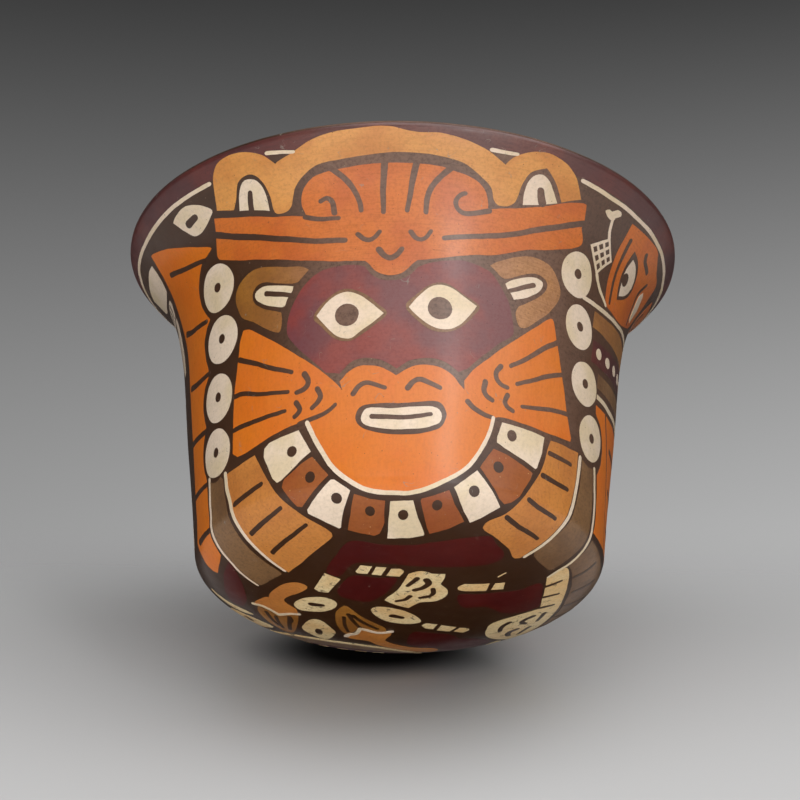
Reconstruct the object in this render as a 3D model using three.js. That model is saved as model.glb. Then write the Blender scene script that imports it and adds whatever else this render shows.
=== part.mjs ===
// A flaring, round-bottomed drinking cup of hand-built, slip-painted pottery. Millimetres, +Z up.
// The origin is the centre of the small flat that the cup rests on, and +Z is the cup's axis.
// The meshes are the stages in which a potter builds the one fired wall: a moulded dish, two courses
// of coils, the flared rim, and then the coats of coloured slip laid over them.

import * as THREE from 'three'

// Driving dimensions of the clay's outside, from the ground up
const REST_RADIUS = 12 // the flat under the cup
const BASE_RADIUS = 60 // where the round bottom turns into the wall
const BASE_RISE = 19.3 // from the bottom of the round, were it not flat there, to the wall
const LOWER_COURSE_HEIGHT = 28
const UPPER_COURSE_HEIGHT = 29
const FLARE_START_RADIUS = 65.6
const FLARE_HEIGHT = 42.5 // from the top of the straight wall to the top of the lip
const RIM_RADIUS = 83.8
const LIP_LEAN = THREE.MathUtils.degToRad(38) // how far the rim leans out from upright
const FLARE_SWEEP_LOW = 30 // how long the flare keeps the wall's line
const FLARE_SWEEP_HIGH = 11 // how long it keeps the lip's line

// Driving dimensions of the wall
const BASE_THICKNESS = 6
const WALL_THICKNESS = 4.6
const LIP_THICKNESS = 3.6
const SCARF_LENGTH = 5 // how far a joint between two courses slants through the wall

// Driving dimensions of the slip coats
const SLIP_THICKNESS = 0.3
const UNDERSIDE_COAT_RADIUS = 24 // the coat that the cup stands on
const LIP_BAND_HEIGHT = 4 // band below the round of the lip, measured up the wall
const LIP_LINE_HEIGHT = 1.3 // line below the band

// Fineness
const SEGMENTS = 60
const UNDERSIDE_STEPS = 2
const CORNER_STEPS = 8
const COURSE_STEPS = 2
const FLARE_STEPS = 8
const BAND_STEPS = 2
const LIP_STEPS = 4 // an even number, so that a station lies on the crest

const CLAY = { color: 0x8a5a3c, roughness: 0.7, metalness: 0 }
const GROUND = { color: 0x4a3a32, roughness: 0.42, metalness: 0 }
const MAROON = { color: 0x5e3038, roughness: 0.42, metalness: 0 }
const CREAM = { color: 0xd8ccb2, roughness: 0.45, metalness: 0 }

// The outside as three joined curves of radius and height: half an ellipse, a straight wall, a flare
const restAngle = Math.acos(REST_RADIUS / BASE_RADIUS)
const coatAngle = Math.acos(UNDERSIDE_COAT_RADIUS / BASE_RADIUS)
const baseTop = SLIP_THICKNESS + BASE_RISE * Math.sin(restAngle)
const flareStart = new THREE.Vector2(
  FLARE_START_RADIUS, baseTop + LOWER_COURSE_HEIGHT + UPPER_COURSE_HEIGHT)
const wallStart = new THREE.Vector2(BASE_RADIUS, baseTop)
const wallLine = flareStart.clone().sub(wallStart).normalize()
const lipLine = new THREE.Vector2(Math.sin(LIP_LEAN), Math.cos(LIP_LEAN))
const lipRadius = LIP_THICKNESS / 2
const flareEnd = new THREE.Vector2(
  RIM_RADIUS - lipRadius * (1 - lipLine.y),
  flareStart.y + FLARE_HEIGHT - lipRadius * (1 + lipLine.x))

const underside = new THREE.EllipseCurve(
  0, baseTop, BASE_RADIUS, BASE_RISE, -restAngle, -coatAngle)
const corner = new THREE.EllipseCurve(
  0, baseTop, BASE_RADIUS, BASE_RISE, -coatAngle, 0)
const flare = new THREE.CubicBezierCurve(
  flareStart,
  flareStart.clone().addScaledVector(wallLine, FLARE_SWEEP_LOW),
  flareEnd.clone().addScaledVector(lipLine, -FLARE_SWEEP_HIGH),
  flareEnd)

// Even steps from one share of a curve's length to another, both ends with them
function evenly(from, to, steps) {
  return Array.from({ length: steps + 1 }, (_, i) => THREE.MathUtils.lerp(from, to, i / steps))
}

// A station is a place up the wall: its outer point, the way out of the clay, and the inner point
function stations(curve, shares, thicknessLow, thicknessHigh) {
  return shares.map((share) => {
    const outer = curve.getPointAt(share)
    const along = curve.getTangentAt(share)
    const out = new THREE.Vector2(along.y, -along.x)
    const thickness = THREE.MathUtils.lerp(thicknessLow, thicknessHigh, share)
    return { outer, out, inner: outer.clone().addScaledVector(out, -thickness) }
  })
}

const wallShare = LOWER_COURSE_HEIGHT / (LOWER_COURSE_HEIGHT + UPPER_COURSE_HEIGHT)
const courseJoint = wallStart.clone().lerp(flareStart, wallShare)
const lowerWall = new THREE.LineCurve(wallStart, courseJoint)
const upperWall = new THREE.LineCurve(courseJoint, flareStart)
const bandShare = 1 - LIP_BAND_HEIGHT / flare.getLength()
const lineShare = bandShare - LIP_LINE_HEIGHT / flare.getLength()
const lineShares = evenly(0, lineShare, FLARE_STEPS)
const bandShares = evenly(bandShare, 1, BAND_STEPS)

const undersideStations = stations(
  underside, evenly(0, 1, UNDERSIDE_STEPS), BASE_THICKNESS, BASE_THICKNESS)
const cornerStations = stations(
  corner, evenly(0, 1, CORNER_STEPS), BASE_THICKNESS, WALL_THICKNESS)
const baseStations = [...undersideStations, ...cornerStations.slice(1)]
undersideStations[0].out.set(0, -1) // the coat is flat where the cup stands
const lowerStations = stations(
  lowerWall, evenly(0, 1, COURSE_STEPS), WALL_THICKNESS, WALL_THICKNESS)
const upperStations = stations(
  upperWall, evenly(0, 1, COURSE_STEPS), WALL_THICKNESS, WALL_THICKNESS)
const flareStations = stations(
  flare, [...lineShares, ...bandShares], WALL_THICKNESS, LIP_THICKNESS)

// Neighbouring courses share the points of their joint, so that they meet face to face.
// A joint slants upwards and inwards: the course below reaches SCARF_LENGTH higher on the inside.
function scarf(point) {
  return point.inner.clone().addScaledVector(wallLine, SCARF_LENGTH)
}
const dishJoint = { outer: lowerStations[0].outer, inner: scarf(lowerStations[0]) }
const middleJoint = { outer: upperStations[0].outer, inner: scarf(upperStations[0]) }
const rimJoint = { outer: upperStations.at(-1).outer, inner: scarf(upperStations.at(-1)) }

// Inner points of a course, leaving out those that its own joints have passed
function innerBetween(list, low, high) {
  return list.map((s) => s.inner).filter((p) => p.y > low.y + 1 && p.y < high.y - 1)
}

function courseProfile(list, low, high) {
  const outer = list.slice(1, -1).map((s) => s.outer)
  const inner = innerBetween(list, low.inner, high.inner).reverse()
  return [low.outer, ...outer, high.outer, high.inner, ...inner, low.inner, low.outer]
}

// The round bottom, closed on the axis inside and out
function dishProfile() {
  const outer = baseStations.slice(0, -1).map((s) => s.outer)
  const inner = baseStations.map((s) => s.inner).reverse()
  const restPoint = new THREE.Vector2(0, SLIP_THICKNESS)
  const floorPoint = new THREE.Vector2(0, baseTop - BASE_RISE + BASE_THICKNESS)
  return [restPoint, ...outer, dishJoint.outer, dishJoint.inner, ...inner, floorPoint]
}

// The lip is half a circle from the outside over the top to the inside
const lipCentre = flareStations.at(-1).outer.clone().lerp(flareStations.at(-1).inner, 0.5)
const lipArc = Array.from({ length: LIP_STEPS + 1 }, (_, i) => {
  const turn = Math.PI * i / LIP_STEPS
  const out = flareStations.at(-1).out.clone().multiplyScalar(Math.cos(turn))
    .addScaledVector(lipLine, Math.sin(turn))
  return { outer: lipCentre.clone().addScaledVector(out, lipRadius), out }
})

function rimProfile() {
  const outer = flareStations.slice(1, -1).map((s) => s.outer)
  const inner = innerBetween(flareStations.slice(1, -1), rimJoint.inner, flareStations.at(-1).inner)
  return [rimJoint.outer, ...outer, ...lipArc.map((s) => s.outer), ...inner.reverse(),
    rimJoint.inner, rimJoint.outer]
}

// What each coat of slip covers, from its lower edge to its upper one
const groundCoat = [...cornerStations, ...lowerStations.slice(1), ...upperStations.slice(1),
  ...flareStations.slice(1, lineShares.length)]
const lineCoat = flareStations.slice(lineShares.length - 1, lineShares.length + 1)
const bandCoat = [...flareStations.slice(lineShares.length, -1), ...lipArc.slice(0, LIP_STEPS / 2 + 1)]

// A coat has its inner face on the clay and its outer face one slip thickness further out
function coatProfile(list) {
  const clayFace = list.map((s) => s.outer)
  const slipFace = list.map((s) => s.outer.clone().addScaledVector(s.out, SLIP_THICKNESS))
  return [...slipFace, ...clayFace.reverse(), slipFace[0]]
}

// The underside's coat is a shallow disc, closed on the axis
function undersideProfile() {
  const ring = coatProfile(undersideStations).slice(0, -1)
  return [new THREE.Vector2(0, 0), ...ring, new THREE.Vector2(0, SLIP_THICKNESS)]
}

function lathe(name, profile, look) {
  const geometry = new THREE.LatheGeometry(profile, SEGMENTS)
  geometry.rotateX(Math.PI / 2)
  const mesh = new THREE.Mesh(geometry, new THREE.MeshStandardMaterial(look))
  mesh.name = name
  return mesh
}

const cup = new THREE.Group()
cup.name = 'ceramic_cup'
cup.add(
  lathe('base_dish', dishProfile(), CLAY),
  lathe('lower_wall_coil', courseProfile(lowerStations, dishJoint, middleJoint), CLAY),
  lathe('upper_wall_coil', courseProfile(upperStations, middleJoint, rimJoint), CLAY),
  lathe('flared_rim', rimProfile(), CLAY),
  lathe('underside_slip', undersideProfile(), MAROON),
  lathe('ground_slip', coatProfile(groundCoat), GROUND),
  lathe('lip_line_slip', coatProfile(lineCoat), CREAM),
  lathe('lip_band_slip', coatProfile(bandCoat), MAROON))

export default cup
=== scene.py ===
"""Looks of a hand-built, slip-painted drinking cup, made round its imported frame.

The outside is painted in thin films of coloured clay. Each film is drawn flat in millimetres,
cut into small cells, given its thickness and wrapped on the cup. Two charts are drawn on:

wall        u runs round the cup, to the right of the middle of the front, measured at a radius
            of 63 mm, and v runs up the outside from the middle of the underside
underside   x runs to the right and y to the front
"""

import math
from bisect import bisect_right

import bmesh
import bpy
from bpy.props import FloatProperty, FloatVectorProperty, PointerProperty
from mathutils import Color, Matrix, Vector, geometry, noise


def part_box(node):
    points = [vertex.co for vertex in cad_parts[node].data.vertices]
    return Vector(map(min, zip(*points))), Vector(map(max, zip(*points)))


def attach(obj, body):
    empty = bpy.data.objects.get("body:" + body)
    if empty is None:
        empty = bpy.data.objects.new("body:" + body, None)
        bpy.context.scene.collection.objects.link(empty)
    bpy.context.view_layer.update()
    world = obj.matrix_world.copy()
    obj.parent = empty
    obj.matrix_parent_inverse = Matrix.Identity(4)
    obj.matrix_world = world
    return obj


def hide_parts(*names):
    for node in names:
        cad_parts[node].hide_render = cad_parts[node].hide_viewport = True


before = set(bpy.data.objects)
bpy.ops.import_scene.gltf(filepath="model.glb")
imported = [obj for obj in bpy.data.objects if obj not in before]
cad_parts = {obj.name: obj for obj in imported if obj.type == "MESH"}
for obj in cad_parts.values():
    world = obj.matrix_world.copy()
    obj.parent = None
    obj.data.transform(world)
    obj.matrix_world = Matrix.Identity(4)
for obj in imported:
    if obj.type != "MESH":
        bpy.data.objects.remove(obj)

bl_info = {
    "name": "Slip-painted cup",
    "version": (1, 0, 0),
    "blender": (4, 5, 0),
    "location": "3D View > Sidebar > Cup",
    "description": "Builds a hand-built pottery cup and its films of painted slip",
    "category": "Object",
}

MM = 0.001
CHART_RADIUS = 63.0  # mm, where the wall chart's u is the true length round the cup
SPIN_STEPS = 180
CELL = 2 * math.pi / SPIN_STEPS * CHART_RADIUS  # mm, the wall chart's width of one spin step
UNDERSIDE_CELL = 1.2  # mm
GIRTH = 2 * math.pi * CHART_RADIUS  # mm, once round the wall chart

# Heights above the clay, in mm
COAT_FACE = 0.10
LAYER_STEP = 0.05
FILM_ROOT = 0.06

# Closer than this is the same place
ON_AXIS = 1e-6  # m, from the axis
SAME_SPOT = 1e-7  # m, on the cup
SAME_POINT = 1e-3  # mm, in a drawing
SAME_CUT = 1e-5  # mm, across a cut through a drawing

# How finely a drawing is made
CURVE_STEP = 0.9  # mm along a curve
SIDE_STEP = 1.5  # mm along a straight side
BRUSH_STEP = 0.7  # mm along a stroke
CAP_STEPS = 5  # round the end of a stroke
DISC_STEPS = 14  # round a small disc
DISC_STEPS_PER_MM = 6  # round a larger disc, for each mm of its radius

# How a brush full of wet slip draws
SPREAD = 1.13  # width of a stroke, in widths of its brush
FULL_BRUSH = 1.06  # share of that at the start of the stroke
BRUSH_THINS = 0.22  # share of it that is gone by the end

# How an unsteady hand moves the brush: waves in each mm, their depth in the noise and their pull
SLOW_SHAKE = (0.16, 3.7, 1.4)
QUICK_SHAKE = (0.6, 8.1, 0.5)
HAND_SEED = 1  # which hand it is, since a noise without a seed starts from the clock

# How the hand-built wall strays from round
SWELLS_ACROSS = 34  # waves in each metre
SWELLS_UP = 46
ROUND_BELOW = 0.3  # share of the bottom's height that is truly round

SHARP_EDGE = math.radians(35)  # an edge that turns further than this isn't shaded smooth
FACE_NUDGE = 0.3  # mm on a chart, over which the way out of a film's face is measured
FACE_LEAN = 0.5  # least cosine between that way and a triangle that is shaded smooth


def colour_property(name, description, default):
    """A colour as it is written, that a user may change"""
    return FloatVectorProperty(
        name=name, description=description, default=default, size=3, min=0, max=1, subtype="COLOR_GAMMA")


def length_property(name, description, default):
    """A length in metres, that a user may change"""
    return FloatProperty(name=name, description=description, default=default, min=0, unit="LENGTH")


class CupSizes(bpy.types.PropertyGroup):
    """Sizes of the cup that its frame's boxes do not give"""

    rest_radius: length_property("Rest radius", "Radius of the flat that the cup stands on", 0.012)
    lip_lean: FloatProperty(
        name="Lip lean", description="How far the rim leans out from upright",
        default=math.radians(38), unit="ROTATION")
    sweep_low: length_property("Low sweep", "How long the flare keeps the line of the wall", 0.030)
    sweep_high: length_property("High sweep", "How long the flare keeps the line of the lip", 0.011)
    base_thickness: length_property("Base thickness", "Clay at the middle of the bottom", 0.006)
    wall_thickness: length_property("Wall thickness", "Clay of the straight wall", 0.0046)
    lip_thickness: length_property("Lip thickness", "Clay at the lip", 0.0036)
    scarf: length_property("Scarf", "How far a joint between two courses slants up the inside", 0.005)
    unevenness: length_property("Unevenness", "How far the hand-built wall strays from round", 0.00025)
    brush_shake: length_property("Brush shake", "How far a painted edge strays from its line", 0.00016)


class SlipColours(bpy.types.PropertyGroup):
    """Colours of the clay and of its slips"""

    clay: colour_property("Clay", "Burnished clay inside the cup", (0.55, 0.34, 0.22))
    ground: colour_property("Ground", "Dark brown coat over the outside", (0.25, 0.14, 0.05))
    line: colour_property("Line", "Dark brown of the brushed lines", (0.245, 0.14, 0.06))
    cream: colour_property("Cream", "Cream slip", (0.93, 0.84, 0.745))
    aged_cream: colour_property("Aged cream", "Yellowed cream slip of the underside", (0.92, 0.82, 0.62))
    orange: colour_property("Orange", "Orange slip", (0.865, 0.455, 0.035))
    red: colour_property("Red", "Orange-red slip", (0.82, 0.43, 0.11))
    brick: colour_property("Brick", "Red-brown slip of the collar", (0.62, 0.335, 0.12))
    tan: colour_property("Tan", "Tan slip of the headdress", (0.86, 0.59, 0.29))
    brown_tan: colour_property("Brown tan", "Tan slip of the shoulders and hands", (0.80, 0.51, 0.22))
    ear_brown: colour_property("Ear brown", "Brown slip of the ears", (0.65, 0.425, 0.14))
    grey_brown: colour_property("Grey brown", "Grey-brown slip of the arms", (0.53, 0.385, 0.24))
    maroon: colour_property("Maroon", "Purple-brown slip of the mask", (0.41, 0.19, 0.225))
    dark_maroon: colour_property("Dark maroon", "Dark purple-brown slip of the lip", (0.31, 0.155, 0.155))
    deep_maroon: colour_property("Deep maroon", "Dark red slip of the underside", (0.31, 0.045, 0.035))


# Sizes read from the frame

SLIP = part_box("base_dish")[0].z
BASE_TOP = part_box("lower_wall_coil")[0].z
BASE_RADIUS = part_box("base_dish")[1].x
COURSE_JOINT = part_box("upper_wall_coil")[0].z
FLARE_START = Vector((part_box("upper_wall_coil")[1].x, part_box("flared_rim")[0].z))
RIM_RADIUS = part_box("flared_rim")[1].x
RIM_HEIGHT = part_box("flared_rim")[1].z
COAT_JOIN_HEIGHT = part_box("underside_slip")[1].z
LINE_LOW_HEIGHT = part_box("lip_line_slip")[0].z
LINE_HIGH_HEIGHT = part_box("lip_band_slip")[0].z


class Profile:
    """The outside as closely spaced stations: arc length, radius, height and the way out"""

    ARC_POINTS = 240
    STATION_STEP = 0.0026
    STATION_TURN = math.radians(5)

    def __init__(self, sizes):
        self.sizes = sizes
        rest = math.acos(sizes.rest_radius / BASE_RADIUS)
        rise = (BASE_TOP - SLIP) / math.sin(rest)
        turns = [rest * (i / self.ARC_POINTS - 1) for i in range(self.ARC_POINTS)]
        clay = [Vector((BASE_RADIUS * math.cos(t), BASE_TOP + rise * math.sin(t))) for t in turns]
        start = Vector((BASE_RADIUS, BASE_TOP))
        clay += [start.lerp(FLARE_START, i / self.ARC_POINTS) for i in range(self.ARC_POINTS)]
        wall = (FLARE_START - start).normalized()
        lip = Vector((math.sin(sizes.lip_lean), math.cos(sizes.lip_lean)))
        half = sizes.lip_thickness / 2
        end = Vector((RIM_RADIUS - half * (1 - lip.y), RIM_HEIGHT - half * (1 + lip.x)))
        flare = geometry.interpolate_bezier(
            FLARE_START, FLARE_START + wall * sizes.sweep_low, end - lip * sizes.sweep_high, end,
            self.ARC_POINTS)
        clay += [point.to_2d() for point in flare[:-1]]
        out = Vector((lip.y, -lip.x))
        arc = [math.pi * i / self.ARC_POINTS for i in range(self.ARC_POINTS + 1)]
        clay += [end - out * half + (out * math.cos(t) + lip * math.sin(t)) * half for t in arc]
        ways = []
        for i in range(len(clay)):
            along = clay[min(i + 1, len(clay) - 1)] - clay[max(i - 1, 0)]
            ways.append(Vector((along.y, -along.x)).normalized())
        points = [point + way * SLIP for point, way in zip(clay, ways)]
        self.points = [Vector((0, 0)), *points]
        self.ways = [Vector((0, -1)), *ways]
        self.lengths = [0.0]
        for low, high in zip(self.points, self.points[1:]):
            self.lengths.append(self.lengths[-1] + (high - low).length)
        lip_index = 3 * self.ARC_POINTS
        self.corner = self.length_at(BASE_TOP)
        self.joint = self.length_at(COURSE_JOINT)
        self.flare = self.length_at(FLARE_START.y)
        self.lip = self.lengths[lip_index]
        self.crest = self.lengths[lip_index + 1 + self.ARC_POINTS // 2]
        self.end = self.lengths[-1]

    def length_at(self, height):
        """Arc length of the first place where the clay reaches a height"""
        for i, (point, way) in enumerate(zip(self.points, self.ways)):
            if i and point.y - way.y * SLIP >= height - SAME_SPOT:
                return self.lengths[i]
        raise RuntimeError("the profile never reaches " + str(height))

    def at(self, length):
        """The slip's outer face as the frame has it, and its way out, at an arc length"""
        i = min(max(bisect_right(self.lengths, length) - 1, 0), len(self.lengths) - 2)
        share = (length - self.lengths[i]) / (self.lengths[i + 1] - self.lengths[i])
        way = self.ways[i].lerp(self.ways[i + 1], share)
        return self.points[i].lerp(self.points[i + 1], share), way.normalized()

    def clay_at(self, length, above=0.0):
        """A point a little above the clay's outer face"""
        point, way = self.at(length)
        return point - way * (SLIP - above)

    def inside_at(self, length):
        """The clay's inner face across from an arc length"""
        sizes = self.sizes
        if length < self.corner:
            start = self.length_at(COAT_JOIN_HEIGHT)
            share = max(0.0, (length - start) / (self.corner - start))
            thickness = sizes.base_thickness + share * (sizes.wall_thickness - sizes.base_thickness)
        else:
            share = min(1.0, max(0.0, (length - self.flare) / (self.lip - self.flare)))
            thickness = sizes.wall_thickness + share * (sizes.lip_thickness - sizes.wall_thickness)
        return self.clay_at(length, -thickness)

    def stations(self, low, high):
        """Arc lengths from one to another, closer together where the profile turns"""
        marks = [low]
        way = self.at(low)[1]
        margin = self.STATION_STEP / 8
        for length, here in zip(self.lengths, self.ways):
            if not low + margin < length < high - margin:
                continue
            if length - marks[-1] >= self.STATION_STEP or way.angle(here) >= self.STATION_TURN:
                marks.append(length)
                way = here
        return [*marks, high]


def uneven(point, sizes):
    """A point of the cup, moved as the hand-built wall strays from round"""
    fade = min(1.0, max(0.0, point.z / BASE_TOP - ROUND_BELOW))
    out = Vector((point.x, point.y, 0))
    if out.length < ON_AXIS:
        return point
    swell = noise.noise(Vector((point.x * SWELLS_ACROSS, point.y * SWELLS_ACROSS, point.z * SWELLS_UP)))
    return point + out.normalized() * (sizes.unevenness * fade * swell)


# Drawing on the charts: an outline is a closed list of (x, y) in mm

def smooth(points, closed=False, step=CURVE_STEP):
    """Points along a curve that passes through every given point"""
    if len(points) == 1:
        return list(points)
    if len(points) == 2 and not closed:
        start, end = Vector(points[0]), Vector(points[1])
        steps = max(1, round(math.dist(*points) / step))
        return [tuple(start.lerp(end, i / steps)) for i in range(steps + 1)]
    spots = [Vector(p) for p in points]
    if closed:
        spots = [spots[-1], *spots, spots[0], spots[1]]
    else:
        spots = [2 * spots[0] - spots[1], *spots, 2 * spots[-1] - spots[-2]]
    curve = []
    for a, b, c, d in zip(spots, spots[1:], spots[2:], spots[3:]):
        steps = max(2, round((c - b).length / step))
        for i in range(steps):
            t = i / steps
            curve.append(0.5 * (2 * b + (c - a) * t + (2 * a - 5 * b + 4 * c - d) * t * t
                                + (3 * b - 3 * c + d - a) * t ** 3))
    if not closed:
        curve.append(spots[-2])
    return [tuple(p) for p in curve]


def loop(*points):
    """An outline without corners"""
    return smooth(points, closed=True)


def outline(*arcs):
    """An outline with a corner wherever one arc ends and the next begins"""
    points = []
    for arc in arcs:
        points += smooth(arc)
    full = []
    for here, there in zip(points, points[1:] + points[:1]):
        if math.dist(here, there) > SAME_POINT:
            full += smooth([here, there], step=SIDE_STEP)[:-1]
    return full


def corners(*points):
    """An outline with straight sides"""
    return outline(*[[p] for p in points])


def disc(x, y, radius, height=None, tilt=0.0):
    """An ellipse, turned to the left by a tilt in degrees"""
    height = height or radius
    steps = max(DISC_STEPS, round(radius * DISC_STEPS_PER_MM))
    cos, sin = math.cos(math.radians(tilt)), math.sin(math.radians(tilt))
    ring = []
    for i in range(steps):
        a, b = radius * math.cos(math.tau * i / steps), height * math.sin(math.tau * i / steps)
        ring.append((x + a * cos - b * sin, y + a * sin + b * cos))
    return ring


def stroke(width, *points):
    """One pull of a round brush of a width, which thins a little towards its end"""
    path = [Vector(p) for p in smooth(points, step=BRUSH_STEP)]
    left, right = [], []
    for i, spot in enumerate(path):
        along = (path[min(i + 1, len(path) - 1)] - path[max(i - 1, 0)]).normalized()
        across = Vector((-along.y, along.x))
        half = width * SPREAD / 2 * (FULL_BRUSH - BRUSH_THINS * i / (len(path) - 1))
        left.append(spot + across * half)
        right.append(spot - across * half)

    def cap(spot, start):
        reach = start - spot
        return [spot + Matrix.Rotation(-math.pi * k / CAP_STEPS, 2) @ reach for k in range(1, CAP_STEPS)]

    return [tuple(p) for p in left + cap(path[-1], left[-1]) + right[::-1] + cap(path[0], right[0])]


def strip(*knots):
    """A band along the chart through knots of (x, low, high), as one outline per pair of knots"""
    lows = [(x, low) for x, low, high in knots]
    highs = [(x, high) for x, low, high in knots]
    return [outline([a, b], [d, c]) for a, b, c, d in zip(lows, lows[1:], highs, highs[1:])]


def moved(outlines, across):
    """Outlines, moved along the chart"""
    return [[(x + across, y) for x, y in points] for points in outlines]


# Putting the drawings on the cup

class Surface:
    """The two charts of the cup's outside"""

    def __init__(self, sizes):
        noise.seed_set(HAND_SEED)
        self.sizes = sizes
        self.profile = Profile(sizes)
        self.rings = [s / MM for s in self.profile.stations(0, self.profile.crest)]

    def place(self, angle, length, above):
        """A point at an angle from the front and an arc length, a height in mm above the clay"""
        point = self.profile.clay_at(length, above * MM)
        return uneven(Vector((point.x * math.sin(angle), -point.x * math.cos(angle), point.y)), self.sizes)

    def wall(self, u, v, above):
        """A point of the wall chart, a height in mm above the clay"""
        return self.place(u / CHART_RADIUS, min(v * MM, self.profile.crest), above)

    def underside(self, x, y, above):
        """A point of the underside chart, a height in mm above the clay"""
        return self.place(math.atan2(x, y), math.hypot(x, y) * MM, above)

    def cuts(self, chart, low, high):
        """Where a drawing is cut: places across it and places up it"""
        def every(step, a, b):
            return [step * k for k in range(math.ceil(a / step), math.ceil(b / step))]

        if chart == "wall":
            return every(CELL, low.x, high.x), [v for v in self.rings if low.y < v < high.y]
        return every(UNDERSIDE_CELL, low.x, high.x), every(UNDERSIDE_CELL, low.y, high.y)


def shaken(point, amount):
    """A point of a drawing, moved as an unsteady hand moves the brush"""
    x, y = point
    across = up = 0.0
    for waves, depth, pull in (SLOW_SHAKE, QUICK_SHAKE):
        sway = noise.noise_vector(Vector((x * waves, y * waves, depth)))
        across += pull * sway.x
        up += pull * sway.y
    return x + amount * across, y + amount * up


def finish_mesh(name, bm, look, slot, *replaced):
    """A piece of the cup, from its bmesh, with its look and the nodes that it replaces; slot is not used"""
    mesh = bpy.data.meshes.new(name)
    bm.to_mesh(mesh)
    bm.free()
    piece = bpy.data.objects.new(name, mesh)
    bpy.context.scene.collection.objects.link(piece)
    mesh.materials.append(look)
    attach(piece, "root")
    if replaced:
        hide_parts(*replaced)
    return piece


def film(surface, name, outlines, look, slot, layer=1, chart="wall"):
    """A painted film: flat outlines, cut into cells, thickened and wrapped on the cup"""
    bm = bmesh.new()
    shake = surface.sizes.brush_shake / MM
    for points in outlines:
        face = bm.faces.new([bm.verts.new((*shaken(p, shake), 0)) for p in points])
        if face.normal.z < 0:
            face.normal_flip()
        geom = [*face.verts, *face.edges, face]
        low = Vector((min(v.co.x for v in face.verts), min(v.co.y for v in face.verts)))
        high = Vector((max(v.co.x for v in face.verts), max(v.co.y for v in face.verts)))
        across, up = surface.cuts(chart, low, high)
        cuts = [((x, 0, 0), (1, 0, 0)) for x in across] + [((0, y, 0), (0, 1, 0)) for y in up]
        for place, way in cuts:
            geom = bmesh.ops.bisect_plane(
                bm, geom=geom, dist=SAME_CUT, plane_co=place, plane_no=way)["geom"]
    bmesh.ops.triangulate(bm, faces=[f for f in bm.faces if len(f.verts) > 4])
    raised = bmesh.ops.extrude_face_region(bm, geom=bm.faces[:])["geom"]
    bmesh.ops.translate(bm, vec=(0, 0, 1), verts=[g for g in raised if isinstance(g, bmesh.types.BMVert)])
    bmesh.ops.recalc_face_normals(bm, faces=bm.faces)
    wrap = getattr(surface, chart)
    face_height = COAT_FACE + LAYER_STEP * layer
    ways = {}
    bm.verts.ensure_lookup_table()
    for i, vert in enumerate(bm.verts):
        x, y, lift = vert.co
        on_face = lift > 0.5
        above = face_height if on_face else FILM_ROOT
        vert.co = wrap(x, y, above)
        if on_face:
            across = wrap(x + FACE_NUDGE, y, above) - wrap(x - FACE_NUDGE, y, above)
            up = wrap(x, y + FACE_NUDGE, above) - wrap(x, y - FACE_NUDGE, above)
            ways[i] = across.cross(up).normalized()
    piece = finish_mesh(name, bm, look, slot)
    mesh = piece.data
    mesh.update()
    normals = []
    for face in mesh.polygons:
        smooth_top = all(i in ways and ways[i].dot(face.normal) > FACE_LEAN for i in face.vertices)
        normals += [ways[i] if smooth_top else face.normal for i in face.vertices]
    mesh.polygons.foreach_set("use_smooth", [True] * len(mesh.polygons))
    mesh.normals_split_custom_set([tuple(n) for n in normals])
    return piece


def turned(surface, name, outer, inner, look, slot, *replaced):
    """A ring or bowl of the cup, spun from its profile: up the outside, then down the inside"""
    bm = bmesh.new()
    verts = [bm.verts.new((p.x, 0, p.y)) for p in [*outer, *inner]]
    edges = [bm.edges.new(pair) for pair in zip(verts, verts[1:])]
    if outer[0].x > ON_AXIS or inner[-1].x > ON_AXIS:
        edges.append(bm.edges.new((verts[-1], verts[0])))
    bmesh.ops.spin(
        bm, geom=verts + edges, cent=(0, 0, 0), axis=(0, 0, 1), angle=math.tau, steps=SPIN_STEPS,
        use_merge=True)
    bmesh.ops.remove_doubles(bm, verts=bm.verts, dist=SAME_SPOT)
    bmesh.ops.recalc_face_normals(bm, faces=bm.faces)
    for vert in bm.verts:
        vert.co = uneven(vert.co, surface.sizes)
    for face in bm.faces:
        face.smooth = True
    for edge in bm.edges:
        edge.smooth = edge.calc_face_angle(0) < SHARP_EDGE
    return finish_mesh(name, bm, look, slot, *replaced)


# Finishes

PAINTED_SHEEN_COLOUR = (0.93, 0.74, 0.64)  # colour of the painted sheen that the front's slips turn towards

# Where a sheen of light is painted over the front: from none of it to all of it, in m along an axis
SHEEN_LEFT = (-0.042, -0.016)
SHEEN_RIGHT = (0.038, 0.058)
SHEEN_PAST_RIGHT = 0.35  # share of it that goes on to the right of that
SHEEN_FRONT = (0.01, -0.02)
SHEEN_UP = (0.018, 0.050)

# Heights in m over which the wear of standing, and what the underside's coat hides, fade out
WEAR_FADE = (0.0, 0.022)
UNDERNEATH_FADE = (0.006, 0.026)

# Roughness, from the smoothest places to the roughest
SLIP_ROUGHNESS = (0.39, 0.51)
CLAY_ROUGHNESS = (0.55, 0.72)
RUBBED_ROUGHER = 0.25
POLISH_ROUGHNESS = 0.24
POLISH = 0.6
SLIP_IOR = 1.65
CLAY_IOR = 1.45

# How much of their colour pits, chips and grit give
PIT_SHARE = 0.8
CHIP_SHARE = 0.6
GRIT_SHARE = 0.6

# How far brush streaks are squeezed along X, Y and Z
LEVEL = (1, 1, 11)
ALMOST_LEVEL = (1, 1, 9)
UPRIGHT = (6, 6, 1)

PALE_SPECK = (0.62, 0.54, 0.44)
PALE_GRIT = (0.75, 0.62, 0.50)


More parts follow.
